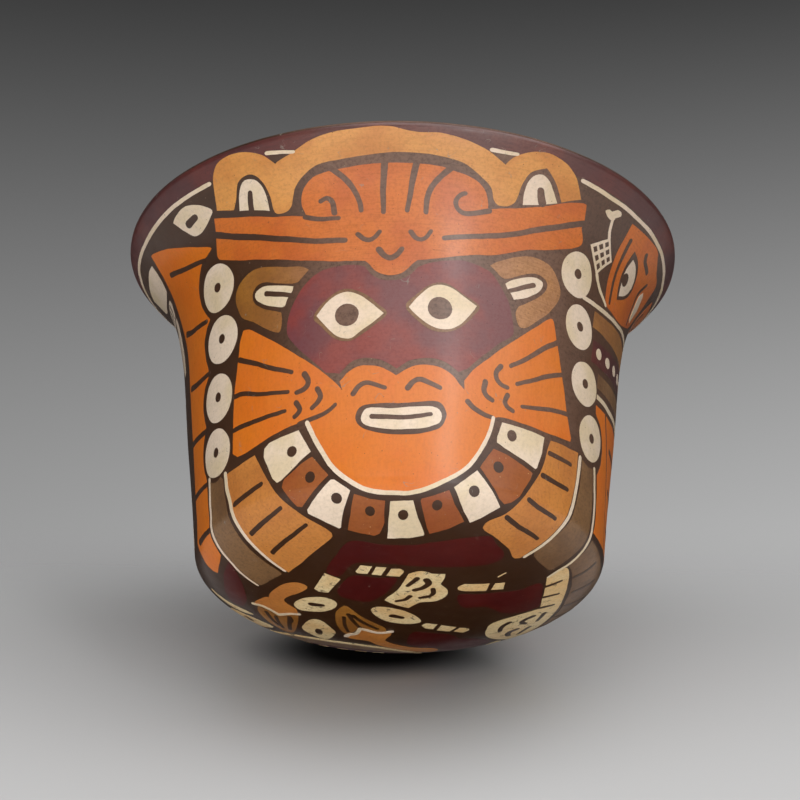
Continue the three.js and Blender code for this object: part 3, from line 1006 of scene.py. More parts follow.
class CUP_OT_muzzle(bpy.types.Operator):
    """Paint the orange muzzle with its whisker fans, mouth and chin line"""

    bl_idname = "cup.muzzle"
    bl_label = "Muzzle"

    def execute(self, context):
        painter = Painter.ready(context)
        chin = [(-27.4, 84.2), (-27, 83), (-25.2, 79), (-23, 75), (-20, 70.3), (-16, 66.3), (-11, 63.2),
                (-6, 61.9), (-1, 61.7), (3, 61.8), (8, 63.2), (13, 65.8), (18, 69), (22, 73.5),
                (24.7, 78.5), (26.3, 83), (27, 86.2)]
        painter.paint("muzzle_and_whiskers", "orange", [outline(
            [(-48.7, 117.8), (-46.5, 117.4), (-43.5, 115.3), (-38, 111.3), (-33, 107.3), (-28, 103.3),
             (-24, 100), (-21, 97.3), (-18.7, 94.8), (-16.8, 92.2)],
            [(-16.8, 92.2), (-17.6, 95)],
            [(-15.5, 97.3), (-12.5, 98.9), (-9.5, 99.3), (-6, 98.7), (-3.5, 97.3), (-1.5, 96)],
            [(-1.5, 96), (1.5, 98), (4.5, 99.2), (8, 99.3), (11.5, 98.6), (14.5, 96.8), (16.3, 94.6),
             (17.8, 93)],
            [(17.8, 93), (17.7, 95.7)],
            [(20, 99), (24, 103), (30, 108.5), (35, 113), (40, 117.5), (43.5, 120.6), (45.3, 121.3),
             (46.3, 119.5), (47.5, 115), (50.3, 106.5), (53.5, 95.5), (56.3, 88.5)],
            [(56, 87.4), (52, 86.8), (45, 86.6), (38, 86.8), (30, 87), (27, 86.2)],
            chin[::-1],
            [(-27.4, 84.5), (-32, 84.4), (-38, 83.2), (-45, 81.6), (-50, 80.6), (-53.5, 80.4)],
            [(-55.6, 82), (-54.8, 89), (-53.4, 99.5), (-51, 110.2), (-50.2, 114.5), (-48.7, 117.8)])])
        painter.paint("chin_line", "cream", [stroke(1.2, *chin)], 3)
        painter.paint("whisker_lines", "line", [
            stroke(1.3, (-50.7, 109.3), (-45, 106.5), (-38, 102.8), (-32, 100.3)),
            stroke(1.2, (-53.5, 98.9), (-50, 98.5), (-43, 96.3), (-33.2, 94.6)),
            stroke(1.2, (-54.5, 88.7), (-40, 89), (-34.6, 89.2)),
            stroke(1.45, (-28, 98.9), (-26.8, 96.8), (-27, 95.3), (-28.5, 94.2), (-30.4, 93.8)),
            stroke(1.4, (-24, 93.8), (-23.1, 91.5), (-24, 89.7), (-25.8, 88.3)),
            stroke(1.45, (-30.7, 90.8), (-29.6, 88.7), (-30.3, 87.5), (-31.5, 86.7)),
            stroke(1.2, (-30, 84.3), (-26, 85.2), (-22.5, 86), (-20.5, 87), (-18.8, 88.4)),
            stroke(1.3, (47.8, 115), (43, 111.5), (37, 106.5), (31.8, 102.8)),
            stroke(1.2, (50.8, 106), (46, 104), (40, 101), (34, 98)),
            stroke(1.2, (54, 94.8), (48, 94), (42, 92.8), (36.2, 91.7)),
            stroke(1.35, (28.6, 102), (27.2, 100), (27.5, 98), (29, 96.7), (31, 96.3)),
            stroke(1.4, (23.9, 96.5), (23.6, 94), (24.5, 92.3), (26.4, 91.3)),
            stroke(1.35, (31.2, 94), (30.5, 92), (31.3, 90.5), (33.3, 89.6)),
            stroke(1.3, (19, 89.7), (21, 88), (24, 86.8), (27, 86.2)),
            stroke(1.3, (-13.6, 91), (-12, 93), (-9.8, 94.1), (-7.5, 93.5), (-4.7, 92.4)),
            stroke(1.4, (1.7, 92.2), (3.2, 94.2), (5.2, 95), (8, 94), (10.8, 92.9))], 2)
        painter.paint("mouth_edge", "line", [loop(
            (-13, 84.5), (-11, 87.3), (-5, 87.7), (0, 87.7), (5, 88.1), (10.5, 88.6), (12.7, 86),
            (12.6, 83.5), (11, 81), (7, 79.3), (2, 78.5), (-3, 78.6), (-9, 79.8), (-12, 81.5))], 2)
        painter.paint("lips", "cream", [loop(
            (-11.4, 83.6), (-10.4, 86), (-8.5, 86.6), (-3, 86.1), (0, 86.4), (5, 86.8), (9, 86.9),
            (10.9, 86.2), (11.6, 84.4), (11.1, 82.6), (9, 81.4), (6, 80.5), (0, 80), (-4, 80.1), (-9, 81),
            (-10.8, 82))], 3)
        painter.paint("mouth_slit", "line", [stroke(1.2, (-8.3, 84), (-3, 83.6), (2, 83.6),
                                                    (8.5, 84.7))], 4)
        return {"FINISHED"}


class CUP_OT_collar(bpy.types.Operator):
    """Paint the collar of nine pale and red plates, each with a dark dot"""

    bl_idname = "cup.collar"
    bl_label = "Collar"

    def execute(self, context):
        painter = Painter.ready(context)
        painter.paint("collar_pale_plates", "cream", [
            corners((-40.5, 81), (-30.3, 82.6), (-26.6, 75.6), (-36.5, 69), (-38, 68.5), (-39.7, 70.2),
                    (-42.7, 77.3), (-42.3, 79.8)),
            corners((-20.3, 66.4), (-19.3, 66.3), (-14.8, 62.8), (-20.8, 51.5), (-21.5, 51.2), (-25, 53.8),
                    (-29.8, 57.8), (-29.6, 59)),
            corners((-3, 59.1), (4, 59.5), (6, 54), (9.1, 48), (8.8, 47.5), (4, 46.3), (-2, 46),
                    (-4.8, 46.1), (-3.8, 52), (-3.1, 56)),
            corners((22.6, 70), (26, 66.5), (31.6, 60.8), (27, 56.5), (23.8, 54.3), (20.5, 57.5),
                    (15.8, 64.2), (19, 66.8)),
            corners((30, 85.5), (37, 85.4), (44.9, 84.9), (44.3, 80), (42.6, 75.2), (42, 74.8), (35, 77),
                    (28.4, 79.3), (28.5, 81))])
        painter.paint("collar_red_plates", "brick", [
            corners((-26.2, 74), (-21, 67.8), (-31, 60), (-32.5, 60.3), (-36.3, 66.8), (-35.5, 69),
                    (-30, 72.3)),
            corners((-13.8, 61.7), (-9, 60), (-4.5, 59.3), (-5.2, 52), (-7.4, 48), (-9.5, 47.2),
                    (-14, 48.5), (-18.8, 50.3), (-16, 55.5)),
            corners((6.5, 60.2), (10, 61.3), (14.5, 63.3), (17, 59.5), (21.8, 54.2), (17, 50.8), (11, 48.4),
                    (9.5, 50.5), (7.5, 56), (6.3, 59.5)),
            corners((27.6, 77.2), (32, 76.5), (36, 75), (41.2, 73.2), (40.5, 71), (37, 65), (34.5, 62.8),
                    (32.5, 61.9), (30.5, 63), (23.5, 71))])
        dots = [(-32.6, 76.7), (-26.9, 68.1), (-19.2, 61), (-9.6, 56.2), (1.2, 54.7), (11.7, 58.6),
                (22.1, 63.8), (29.4, 72.2), (33.4, 82.3)]
        painter.paint("collar_dots", "line", [disc(x, y, 1.65) for x, y in dots], 2)
        return {"FINISHED"}


class CUP_OT_shoulders(bpy.types.Operator):
    """Paint the shoulders, the arms and the cream lines between them"""

    bl_idname = "cup.shoulders"
    bl_label = "Shoulders and Arms"

    def execute(self, context):
        painter = Painter.ready(context)
        painter.paint("shoulders", "brown_tan", [
            outline([(-59, 77), (-53, 77.6), (-46.2, 78.8)],
                    [(-46.2, 78.8), (-44, 74.5), (-40.2, 68), (-36.5, 63), (-32, 57.5), (-28.5, 54),
                     (-25.5, 50.8), (-25, 49.2), (-26.5, 47.8), (-34, 45), (-44, 42), (-52, 40.5),
                     (-58, 40)],
                    [(-58, 41), (-57.2, 52), (-56.9, 60), (-57.4, 67), (-58.8, 72), (-59.5, 77)]),
            outline([(47.5, 84.8), (53, 85), (60.5, 85.5)],
                    [(60.5, 85.5), (60.3, 78), (58.7, 70), (56, 62), (54, 54), (52.2, 47.2)],
                    [(50.5, 46.3), (48.5, 46.6), (44, 48.5), (36, 51), (30.2, 52.6), (29, 54), (30, 56),
                     (34, 59), (38, 64.5), (42, 70.5), (45, 76.5), (46.5, 82), (47.5, 84.8)])])
        painter.paint("shoulder_lines", "line", [
            stroke(1.5, (-55.6, 66.8), (-50, 68.2), (-44, 69.6)),
            stroke(1.3, (-54.2, 57), (-47, 58.7), (-38.2, 61.2)),
            stroke(1.3, (-53.5, 48.5), (-45, 50.5), (-38, 52.4), (-32.3, 54.2)),
            stroke(1.3, (47.3, 80.8), (52, 80.7), (57, 80.6)),
            stroke(1.4, (45, 73.6), (50, 73), (56.2, 72.8)),
            stroke(1.3, (40.5, 65), (46, 63.5), (52.6, 62.8)),
            stroke(1.3, (35, 58.3), (42, 56.5), (51, 55.2))], 2)
        painter.paint("arms", "grey_brown", [
            outline([(-69, 78.2), (-69.2, 70), (-69.4, 65), (-71.5, 59), (-73.8, 54), (-76.5, 49.5),
                     (-80.3, 43.3)],
                    [(-80, 42), (-75, 41.2), (-68, 40.8), (-62.8, 40.5), (-61.5, 41.5), (-61.3, 45),
                     (-61, 50), (-60.4, 55), (-59.7, 60), (-59.6, 65), (-60.3, 70), (-61, 73), (-61, 76)],
                    [(-62.5, 77.3), (-65, 76.6), (-67.5, 77.2)]),
            outline([(62.8, 84.5), (63, 80), (62.6, 75), (61.2, 70), (59.5, 65), (57.5, 60), (55.7, 55),
                     (54.9, 51.5), (56, 50), (60, 49), (66, 48.6), (70, 48.7), (71.2, 50.5), (71.4, 55),
                     (71.5, 60), (71.2, 65), (71.5, 70), (71.5, 75), (70.8, 80), (70, 84)],
                    [(70, 84), (67, 83.4), (64.5, 84)])])
        painter.paint("edge_lines", "cream", [
            stroke(1.25, (-59.8, 77.3), (-59.3, 73), (-58, 69), (-57.3, 65), (-57.2, 60), (-57.5, 55),
                   (-58, 50), (-58.4, 45), (-58.6, 41.2)),
            stroke(0.95, (-69.4, 79.2), (-69.8, 72), (-70.1, 66), (-72.1, 60), (-74.6, 54), (-77.2, 50),
                   (-81.2, 42.9)),
            stroke(1.15, (61.8, 84.5), (61.3, 78), (59.8, 70), (57, 62), (54.8, 53), (53.3, 48.2)),
            stroke(1.0, (71.3, 84.4), (72.4, 80), (73.5, 75), (73.6, 70), (73.1, 65), (73.7, 60),
                   (74.5, 55), (74.2, 50), (74.8, 47))], 2)
        return {"FINISHED"}


class CUP_OT_beads(bpy.types.Operator):
    """Paint the two columns of pale bead discs that hang beside the face"""

    bl_idname = "cup.beads"
    bl_label = "Bead Columns"

    def execute(self, context):
        painter = Painter.ready(context)
        beads = [(-58.7, 135, 7.2, 7.2), (-58.4, 118.6, 7.2, 7.2), (-61.6, 101.4, 7.2, 7.2),
                 (-64.2, 85.3, 7.4, 7.2), (53.3, 138.3, 6.4, 6.8), (56.8, 123.3, 6.25, 6.7),
                 (61.5, 107.2, 6.8, 6.6), (67.4, 92.4, 7, 6.8)]
        painter.paint("bead_discs", "cream", [disc(*bead) for bead in beads], 2)
        painter.paint("bead_holes", "line", [disc(x + 0.1, y + 0.2, 1.45) for x, y, *rest in beads], 3)
        return {"FINISHED"}


class CUP_OT_cape(bpy.types.Operator):
    """Paint the left side: pale lozenge and orange cape"""

    bl_idname = "cup.cape"
    bl_label = "Cape"

    def execute(self, context):
        painter = Painter.ready(context)
        painter.paint("lozenge", "cream", [outline(
            [(-66.8, 160.5), (-65, 161.3), (-60.5, 162), (-57.5, 161.3), (-54.5, 159.3), (-52.4, 156.8),
             (-54, 155.2), (-57.5, 153.2), (-60.5, 152.7), (-63, 153.7), (-65.3, 156.8)])])
        painter.paint("lozenge_slit", "line", [stroke(2.1, (-61.9, 157.0), (-58.7, 157.6))], 2)
        painter.paint("cape", "orange", [outline(
            [(-85, 160.5), (-83.5, 160.3), (-76, 156.8), (-70, 153.5), (-64, 150.5), (-59, 148.3),
             (-57.6, 147.2)],
            [(-57.6, 147.2), (-60.5, 146), (-63, 145.3), (-66.6, 142), (-68.4, 138), (-68.2, 133.5),
             (-66.5, 130.5), (-64, 127.4)],
            [(-66.2, 125.5), (-68, 121.5), (-67.8, 116.5), (-66.5, 112.5), (-66.8, 110)],
            [(-69.5, 107.5), (-71.2, 103), (-70.9, 98.5), (-70, 95.5)],
            [(-72, 92.5), (-73.4, 88), (-73.2, 83.5), (-71.6, 79.8), (-71.5, 72), (-71.6, 66.5),
             (-74, 59.5), (-75.6, 56.7)],
            [(-80, 55.8), (-88.5, 55)],
            [(-89.3, 56.5), (-88.5, 59), (-86.5, 61.5), (-85.3, 65), (-84.4, 70), (-84, 80), (-83.3, 90),
             (-82.6, 100), (-82.6, 112), (-82.3, 120), (-83, 127), (-84, 131), (-85.8, 136),
             (-87.5, 143), (-88, 150), (-87, 156), (-85, 160.5)])])
        painter.paint("cape_lines", "line", [
            stroke(1.35, (-82, 151.2), (-76, 149), (-70, 147), (-62, 145.3)),
            stroke(1.5, (-81.5, 130.8), (-76, 129), (-66, 127.6)),
            stroke(1.6, (-80.5, 112.3), (-74, 111.3), (-66, 111)),
            stroke(1.6, (-82.4, 95.4), (-76, 94.8), (-69.2, 94.3)),
            stroke(1.5, (-83.6, 79), (-77, 78.7), (-71.2, 78.4)),
            stroke(1.5, (-82.4, 64.6), (-77, 64.5), (-72.2, 64.5))], 2)
        return {"FINISHED"}


class CUP_OT_side(bpy.types.Operator):
    """Paint the right side and the back: net bag, creature heads, bands and panels"""

    bl_idname = "cup.side"
    bl_label = "Side and Back"

    # In mm on the wall chart, and counts
    HEADS = 5
    HEAD_PITCH = 41.0
    BAND_DOTS = 30
    BAND_DOTS_FROM = 95.3
    BAND_DOT_PITCH = 6.8
    PANELS = 12
    PANELS_FROM = 77.5
    PANEL_PITCH = 18.0
    PANEL_GAP = 1.4
    PANEL_HEIGHTS = (66, 73, 82, 92, 104)
    PANEL_LEAN = 11.8
    PANEL_BEND = 1.6
    PANEL_LINES = (95.5, 84.5, 73.5)
    PANEL_LINE_INSET = 3
    BACK_BEADS = (96, 84, 72)
    BARS_FROM = 85.4
    BAR_PITCH = 12.3
    BARS_END = 4

    # As shares of the net bag's sides
    NET_HOLES = (0.2, 0.5, 0.8)
    NET_HOLE_REACH = 0.09

    def execute(self, context):
        painter = Painter.ready(context)
        self.net_bag(painter)
        self.heads(painter)
        self.bands(painter)
        self.panels(painter)
        self.lower_band(painter)
        self.left_shapes(painter)
        return {"FINISHED"}

    def net_bag(self, painter):
        """A square bag of pale net that hangs from a knob, with nine holes and a tail"""
        bag = [Vector((55.5, 148.8)), Vector((61.4, 153.6)), Vector((66.2, 148.6)), Vector((61.2, 141.9))]
        painter.paint("net_bag", "cream", [
            corners(*[tuple(corner) for corner in bag]),
            stroke(0.9, (61, 153.3), (60, 154.8), (59.2, 156.5), (58.4, 158.6))])
        painter.paint("net_bag_knob", "cream", [loop(
            (54.8, 159.4), (55.6, 160.3), (56.8, 160.2), (58, 161.4), (59.5, 161.5), (60.2, 160.5),
            (59, 159.2), (58.9, 158), (57.3, 158), (56, 158.5))], 2)
        painter.paint("net_bag_tail", "cream", [stroke(
            1.05, (61.6, 142.2), (63, 140.2), (65.2, 138.2), (67.5, 136.8), (69.2, 135.8))])

        def inside(across, down):
            return tuple(bag[0].lerp(bag[1], across).lerp(bag[3].lerp(bag[2], across), down))

        reach = self.NET_HOLE_REACH
        square = ((-reach, -reach), (reach, -reach), (reach, reach), (-reach, reach))
        painter.paint("net_bag_holes", "line", [
            corners(*[inside(a + x, d + y) for x, y in square])
            for a in self.NET_HOLES for d in self.NET_HOLES], 2)

    def heads(self, painter):
        """Red creature heads with pale eyes and fangs, in a row round the back"""
        head = [outline(
            [(65.5, 161.2), (69.2, 161.6), (73.2, 162.1), (77, 162.6), (80.2, 163), (83.2, 162.7),
             (85.5, 161.8), (90.5, 160.8), (95, 160.8), (98.2, 160.4), (101, 158), (103.3, 155),
             (103, 150.5), (99.5, 145.5), (95, 142)],
            [(95, 142), (90, 139.5), (84, 137), (78, 135.8), (74, 135.8), (70, 135.8)],
            [(68.5, 137.2), (67.6, 142), (67, 149), (66.5, 155.8), (65.5, 161.2)])]
        eye = [outline([(75, 154.3), (77, 154), (79.8, 152.8), (81.8, 151), (82.5, 148.8)],
                       [(82.5, 148.8), (81.2, 146), (79, 144), (76, 142.5)],
                       [(75.3, 146), (74.6, 150.5), (75, 154.3)])]
        edge = [outline([(73.3, 156.4), (76.7, 155.6), (79.9, 154.2), (82.6, 152), (83.9, 149)],
                        [(83.9, 149), (83, 146.2), (79.6, 143.1), (75.2, 141)],
                        [(74.2, 144), (73.4, 149), (73.3, 156.4)])]
        fang = [outline([(93, 154.2), (91.8, 151.8), (92.7, 148.8), (93, 144)], [(94.3, 143.8), (97, 147)],
                        [(98.3, 150.5), (96.5, 152.7), (94.8, 154)])]
        pupil = [disc(76.4, 148, 1.9, 2.1)]
        lines = [stroke(1.2, (69, 157.4), (69.8, 153), (70.2, 147), (71, 137.6)),
                 stroke(1.3, (79.2, 158.9), (81.2, 157.6), (84.5, 157.2), (86.3, 157)),
                 stroke(1.1, (91.5, 156), (89.8, 151), (91, 146), (90.6, 141))]
        for name, slip, shapes, layer in (
                ("creature_heads", "red", head, 1), ("creature_eye_edges", "line", edge + lines, 2),
                ("creature_eyes", "cream", eye + fang, 3), ("creature_pupils", "line", pupil, 4)):
            row = []
            for k in range(self.HEADS):
                row += moved(shapes, self.HEAD_PITCH * k)
            painter.paint(name, slip, row, layer)

    def round_the_back(self, low, high, start=96.0, end=GIRTH - 97, stretches=10):
        """Knots of a strip that keeps its height round the back"""
        step = (end - start) / stretches
        return [(start + step * k, low, high) for k in range(stretches + 1)]

    def bands(self, painter):
        """Bands that run round the back below the heads"""
        painter.paint("brown_band", "ear_brown", strip(
            (63.5, 126.3, 131.4), (72, 126.3, 132), (84, 126.6, 133.6), *self.round_the_back(127.3, 134.6)))
        painter.paint("maroon_band", "dark_maroon", strip(
            (64, 115.5, 122.5), (72, 115.8, 123), (84, 116.8, 124.6), *self.round_the_back(118, 126)))
        painter.paint("grey_band", "grey_brown", strip(
            (68.8, 109.2, 113.6), (82, 109.5, 114.3), *self.round_the_back(110.4, 115.4)))
        dots = [(68, 119.5), (74.7, 119.7), (81.5, 120.5), (88.5, 121.2)]
        dots += [(self.BAND_DOTS_FROM + self.BAND_DOT_PITCH * k, 122) for k in range(self.BAND_DOTS)]
        painter.paint("band_dots", "cream", [disc(x, y, 1.7) for x, y in dots], 2)
        painter.paint("band_lines", "cream", strip(
            (57, 132.4, 133.7), (64, 132.6, 133.9), (72, 133.1, 134.4), (80, 134.1, 135.4),
            (87, 135.5, 136.8), *self.round_the_back(136.6, 137.9)))
        painter.paint("panel_line", "cream", strip(
            (69, 105.8, 107.3), (80, 105.6, 107.1), (90, 106, 107.5), *self.round_the_back(106.5, 107.9)))

    def lean(self, across, up):
        """A point of the panels, which lean the more the lower they are"""
        low, high = self.PANEL_HEIGHTS[0], self.PANEL_HEIGHTS[-1]
        return across + self.PANEL_LEAN * (1 - ((up - low) / (high - low)) ** self.PANEL_BEND), up

    def panel(self, left, right):
        """The outline of one leaning panel"""
        return outline([self.lean(right, y) for y in self.PANEL_HEIGHTS[::-1]],
                       [self.lean(left, y) for y in self.PANEL_HEIGHTS])

    def panels(self, painter):
        """Leaning panels, orange and tan with dark lines, and a column of beads after each two"""
        red, tan, lines, beads, holes = [], [], [], [], []
        first_right = self.PANELS_FROM - self.PANEL_GAP
        red.append(outline([(69, 103.6), (76.4, 103.9)],
                           [self.lean(first_right, y) for y in self.PANEL_HEIGHTS[::-1]],
                           [(82, 65.8), (74.6, 66)], [(74.6, 66), (75.6, 70), (75, 78), (73.8, 83.5)],
                           [(76.4, 88), (76.4, 93), (74, 98), (69.5, 101)]))
        for k in range(self.PANELS):
            left = self.PANELS_FROM + self.PANEL_PITCH * k
            right = left + self.PANEL_PITCH - self.PANEL_GAP
            middle = (left + right) / 2
            if k % 3 == 2:
                for y in self.BACK_BEADS:
                    x = self.lean(middle, y)[0]
                    beads.append(disc(x, y, 5.4, 5))
                    holes.append(disc(x, y, 1.4))
                continue
            (red, tan)[k % 3].append(self.panel(left, right))
            places = (left + self.PANEL_LINE_INSET, middle, right - self.PANEL_LINE_INSET)
            for y in self.PANEL_LINES:
                lines.append(stroke(1.3, *[self.lean(x, y) for x in places]))
        painter.paint("orange_panels", "orange", red)
        painter.paint("tan_panels", "tan", tan)
        painter.paint("panel_lines", "line", lines, 2)
        painter.paint("back_beads", "cream", beads)
        painter.paint("back_bead_holes", "line", holes, 2)

    def lower_band(self, painter):
        """The brown band below the panels, with a dark bar at every pitch"""
        knots = [(75, 53.8, 63.8), (82, 53.2, 63.5), (88, 52.2, 63.2), (97, 51, 62.6), (104, 50.3, 62.2),
                 (112, 50.1, 62.2), (121, 50.2, 62.4), (133, 51.3, 62.8), (142, 52.4, 63.2),
                 (150, 53.6, 63.8), *self.round_the_back(53.8, 64, 156, GIRTH - 139, 7)]
        painter.paint("lower_band", "grey_brown", strip(*knots))
        bars = []
        bar = self.BARS_FROM
        while bar < knots[-1][0] - self.BARS_END:
            low = min(knots, key=lambda knot: abs(knot[0] - bar))[1]
            bars.append(stroke(1.3, (bar, low + 1.2), (bar + 0.9, low + 4.5), (bar + 1.5, low + 8.6)))
            bar += self.BAR_PITCH
        painter.paint("lower_band_bars", "line", bars, 2)

    def left_shapes(self, painter):
        """Pale shapes at the far left, where the painting goes on round the back"""
        painter.paint("left_shapes", "cream", [
            outline([(-88.8, 159.5), (-93, 160.2), (-98, 160.6), (-104, 161.2), (-110, 161.6)],
                    [(-111, 156), (-106, 153), (-100, 151.5), (-95, 150.7), (-91.5, 151)],
                    [(-91.5, 151), (-90.2, 154.5), (-88.8, 159.5)]),
            loop((-92.6, 148.6), (-92.3, 146), (-93.2, 143.6), (-97, 143.2), (-102, 143.8), (-106, 145.8),
                 (-105, 148.6), (-99, 149)),
            outline([(-92, 142), (-91, 138), (-90, 133), (-88.9, 127.8), (-88.4, 121.5)],
                    [(-91, 121.5), (-93.5, 126), (-95, 132), (-95.5, 138), (-94.5, 142)])])
        painter.paint("left_shape_marks", "line", [
            stroke(1.0, (-95.3, 148), (-95, 146), (-95.6, 144.3)),
            stroke(1.0, (-98.6, 148), (-98.3, 146), (-98.9, 144.3)),
            stroke(1.0, (-102, 148), (-101.7, 146.2), (-102.3, 144.8))], 2)


class CUP_OT_underside(bpy.types.Operator):
    """Paint the underside: dark red patches, pale bars and ovals, hands and heads"""

    bl_idname = "cup.underside"
    bl_label = "Underside"

    def execute(self, context):
        painter = Painter.ready(context)
        painter.under("underside_patches", "deep_maroon", [
            loop((4, 43.2), (-5, 43.4), (-14, 43.6), (-18, 36.5), (-20.7, 29), (-19.5, 26.5), (-16.5, 27),
                 (-12.5, 34), (-4, 34.5), (6.5, 33.2), (17, 32), (27, 32), (30, 35), (27.6, 40.5),
                 (25.5, 44), (17, 44.8), (9, 44)),
            loop((-13, 27.4), (-6, 27), (-0.6, 27), (-2.6, 20.5), (-5, 16.5), (-9, 12.5), (-15.6, 13.6),
                 (-17.6, 17), (-16.5, 22)),
            loop((17, 16), (22.5, 15.5), (29, 15), (35, 14), (41.2, 15.2), (42, 7), (41.3, -0.6),
                 (35.5, -2.5), (30.7, -0.4), (25.5, 6.2), (18.6, 8)),
            loop((4.6, -11), (11.8, -13), (16, -15.8), (18.5, -20.5), (24.4, -24), (28, -30),
                 (25.5, -37), (23, -42.4), (14, -44), (12.8, -37), (12.6, -33), (4.9, -27.5),
                 (2.6, -21.6)),
            loop((-49.5, 21), (-48, 16), (-46, 9), (-45, 0), (-46.5, -8), (-50, -8.6), (-52, -2),
                 (-52.2, 9), (-51, 17))])
        painter.under("underside_bars", "aged_cream", [
            corners((-11, 33.1), (-7.75, 32.9), (-9.1, 29), (-11.9, 29), (-12.4, 29.9)),
            corners((-6.6, 32.75), (-3.6, 32.6), (-5.1, 28.5), (-7.9, 28.75)),
            outline([(-2.25, 32)], [(0.25, 32.1), (1.4, 31.3), (1.3, 30), (0.25, 28.1)], [(-3.6, 28.4)]),
            outline([(-21.4, 27)], [(-16.75, 24.75)], [(-20.25, 16.25), (-22.5, 15.8), (-24.4, 17.4)]),
            outline([(26, 21.2)], [(25.2, 17)], [(18.6, 18.4), (16.9, 19.4), (16.8, 21), (18.6, 22.5)]),
            corners((27.6, 20.8), (30.5, 20.4), (30.1, 16.7), (26.6, 17.3)),
            outline([(6.8, -5.3), (8.1, -3.6), (11.3, -4.5)], [(10.1, -8.2)], [(7.8, -7.5)]),
            corners((12.6, -5.3), (17.1, -7.9), (15.2, -11.5), (11.3, -9.5)),
            outline([(18.1, -8.7), (20.5, -10), (20.8, -11.8), (19.2, -13.7)], [(16.4, -11.8)]),
            corners((30.2, -33.2), (31.8, -35.6), (31.2, -38.4), (27.2, -40.4), (28.4, -36.4)),
            stroke(0.45, (28.5, 24.2), (29.6, 25.1), (30.6, 25.7))])
        painter.under("underside_ovals", "aged_cream", [
            loop((-30.6, 4.5), (-28.5, 9), (-25.5, 11.5), (-22, 12.6), (-19, 11.5), (-17.8, 9), (-19, 5.5),
                 (-22, 2.5), (-26, 1.3), (-29, 1.2)),
            loop((-6.8, 8.7), (-3.5, 8.8), (0, 7.2), (2.5, 5.3), (5, 2.2), (6.5, -0.8), (6.3, -2.8),
                 (3.5, -4), (0, -3.7), (-3.5, -2.2), (-6.2, 1.5), (-7.9, 6)),
            loop((-24.3, -4.8), (-26.5, -6.7), (-28, -11), (-28.7, -15.5), (-27, -20), (-23.3, -24.5),
                 (-21, -23.7), (-19.5, -20), (-18.6, -15.5), (-20, -11), (-22, -6.2)),
            loop((-57.5, -8.4), (-55, -10.2), (-51, -12), (-45.6, -13.2), (-43.9, -14.8), (-47.5, -16.2),
                 (-51, -15.6), (-55.5, -12.2)),
            loop((-50.5, -18.7), (-46, -18.7), (-42, -20), (-38.2, -23), (-39.8, -27), (-43, -31),
                 (-48, -27), (-52, -22))])
        painter.under("underside_slits", "line", [
            stroke(2.0, (-25.2, 6.8), (-23.8, 6.9), (-22.3, 7.1)),
            stroke(2.0, (-1.8, 2.2), (-0.5, 1.5), (0.8, 0.9)),
            disc(-23.7, -16.3, 1.15, 3.0, 6),
            stroke(1.6, (-46.5, -22), (-45.5, -23.2), (-45.2, -24.6))], 2)
        painter.under("small_head", "aged_cream", [outline(
            [(2.8, 29.4), (5.5, 30.8), (8.1, 30.4), (9.4, 29.4), (13.1, 28.8)],
            [(13.1, 28.8), (12.9, 27), (11.8, 23.6)],
            [(11.8, 23.6), (13.9, 19.6), (13.4, 15.9), (10.7, 13.4), (6, 12.5), (2.8, 8.6)],
            [(2.8, 8.6), (-0.8, 10.9), (-4, 14.1)],
            [(-4, 14.1), (-3, 16.2), (-0.3, 20.4), (1.3, 24.6), (2.8, 29.4)])])
        painter.under("large_head", "aged_cream", [outline(
            [(43.1, 17.3), (44.9, 18.8), (48.6, 19.4), (49.9, 17.8), (50.2, 14.1), (49.9, 6.7),
             (49.2, -0.6), (47.8, -9), (45.5, -18), (42.8, -25.8), (39.7, -32.1), (37.1, -36.8),
             (33.9, -38.6)],
            [(33.9, -38.6), (32.8, -33.7), (29.7, -28.4), (27, -22.6), (26, -17.9), (26.3, -13.2),
             (27, -9.5), (30.2, -6.3), (35.5, -4.7), (41.8, -3.4)],
            [(41.8, -3.4), (42.4, 4.6), (42.8, 9.9), (43.1, 17.3)])])
        painter.under("head_lines", "line", [
            stroke(1.4, (5.2, 27), (4, 25), (2.6, 23)),
            stroke(1.7, (7.8, 26.2), (8.4, 24.1), (6.8, 21.7), (4.4, 20.4)),
            stroke(1.3, (9.8, 20.9), (9.9, 18.3), (8.4, 16.5), (6, 15.7)),
            stroke(1.3, (3.1, 16.7), (1.8, 14.6), (-0.6, 13.6)),
            stroke(1.5, (33.1, -10), (31.3, -12.1), (30.5, -14.7), (30.5, -17.9)),
            stroke(1.7, (40.2, -8.9), (37.8, -10.5), (37, -12.6), (38.1, -14.7)),
            stroke(1.3, (43.6, -8.9), (42.8, -12), (41.8, -15.3)),
            stroke(1.7, (35.7, -19.5), (33.6, -21.6), (33.1, -24.7), (33.6, -26.8)),
            stroke(1.3, (39.7, -20.5), (38, -24), (36.5, -27.9)),
            stroke(1.1, (42.9, 12.1), (45, 12.2), (47.8, 12.5)),
            stroke(1.1, (42.7, 5.2), (45, 4.7), (47.3, 4.1)),
            stroke(1.3, (41.9, -2.7), (44, -3), (46, -3.5))], 2)
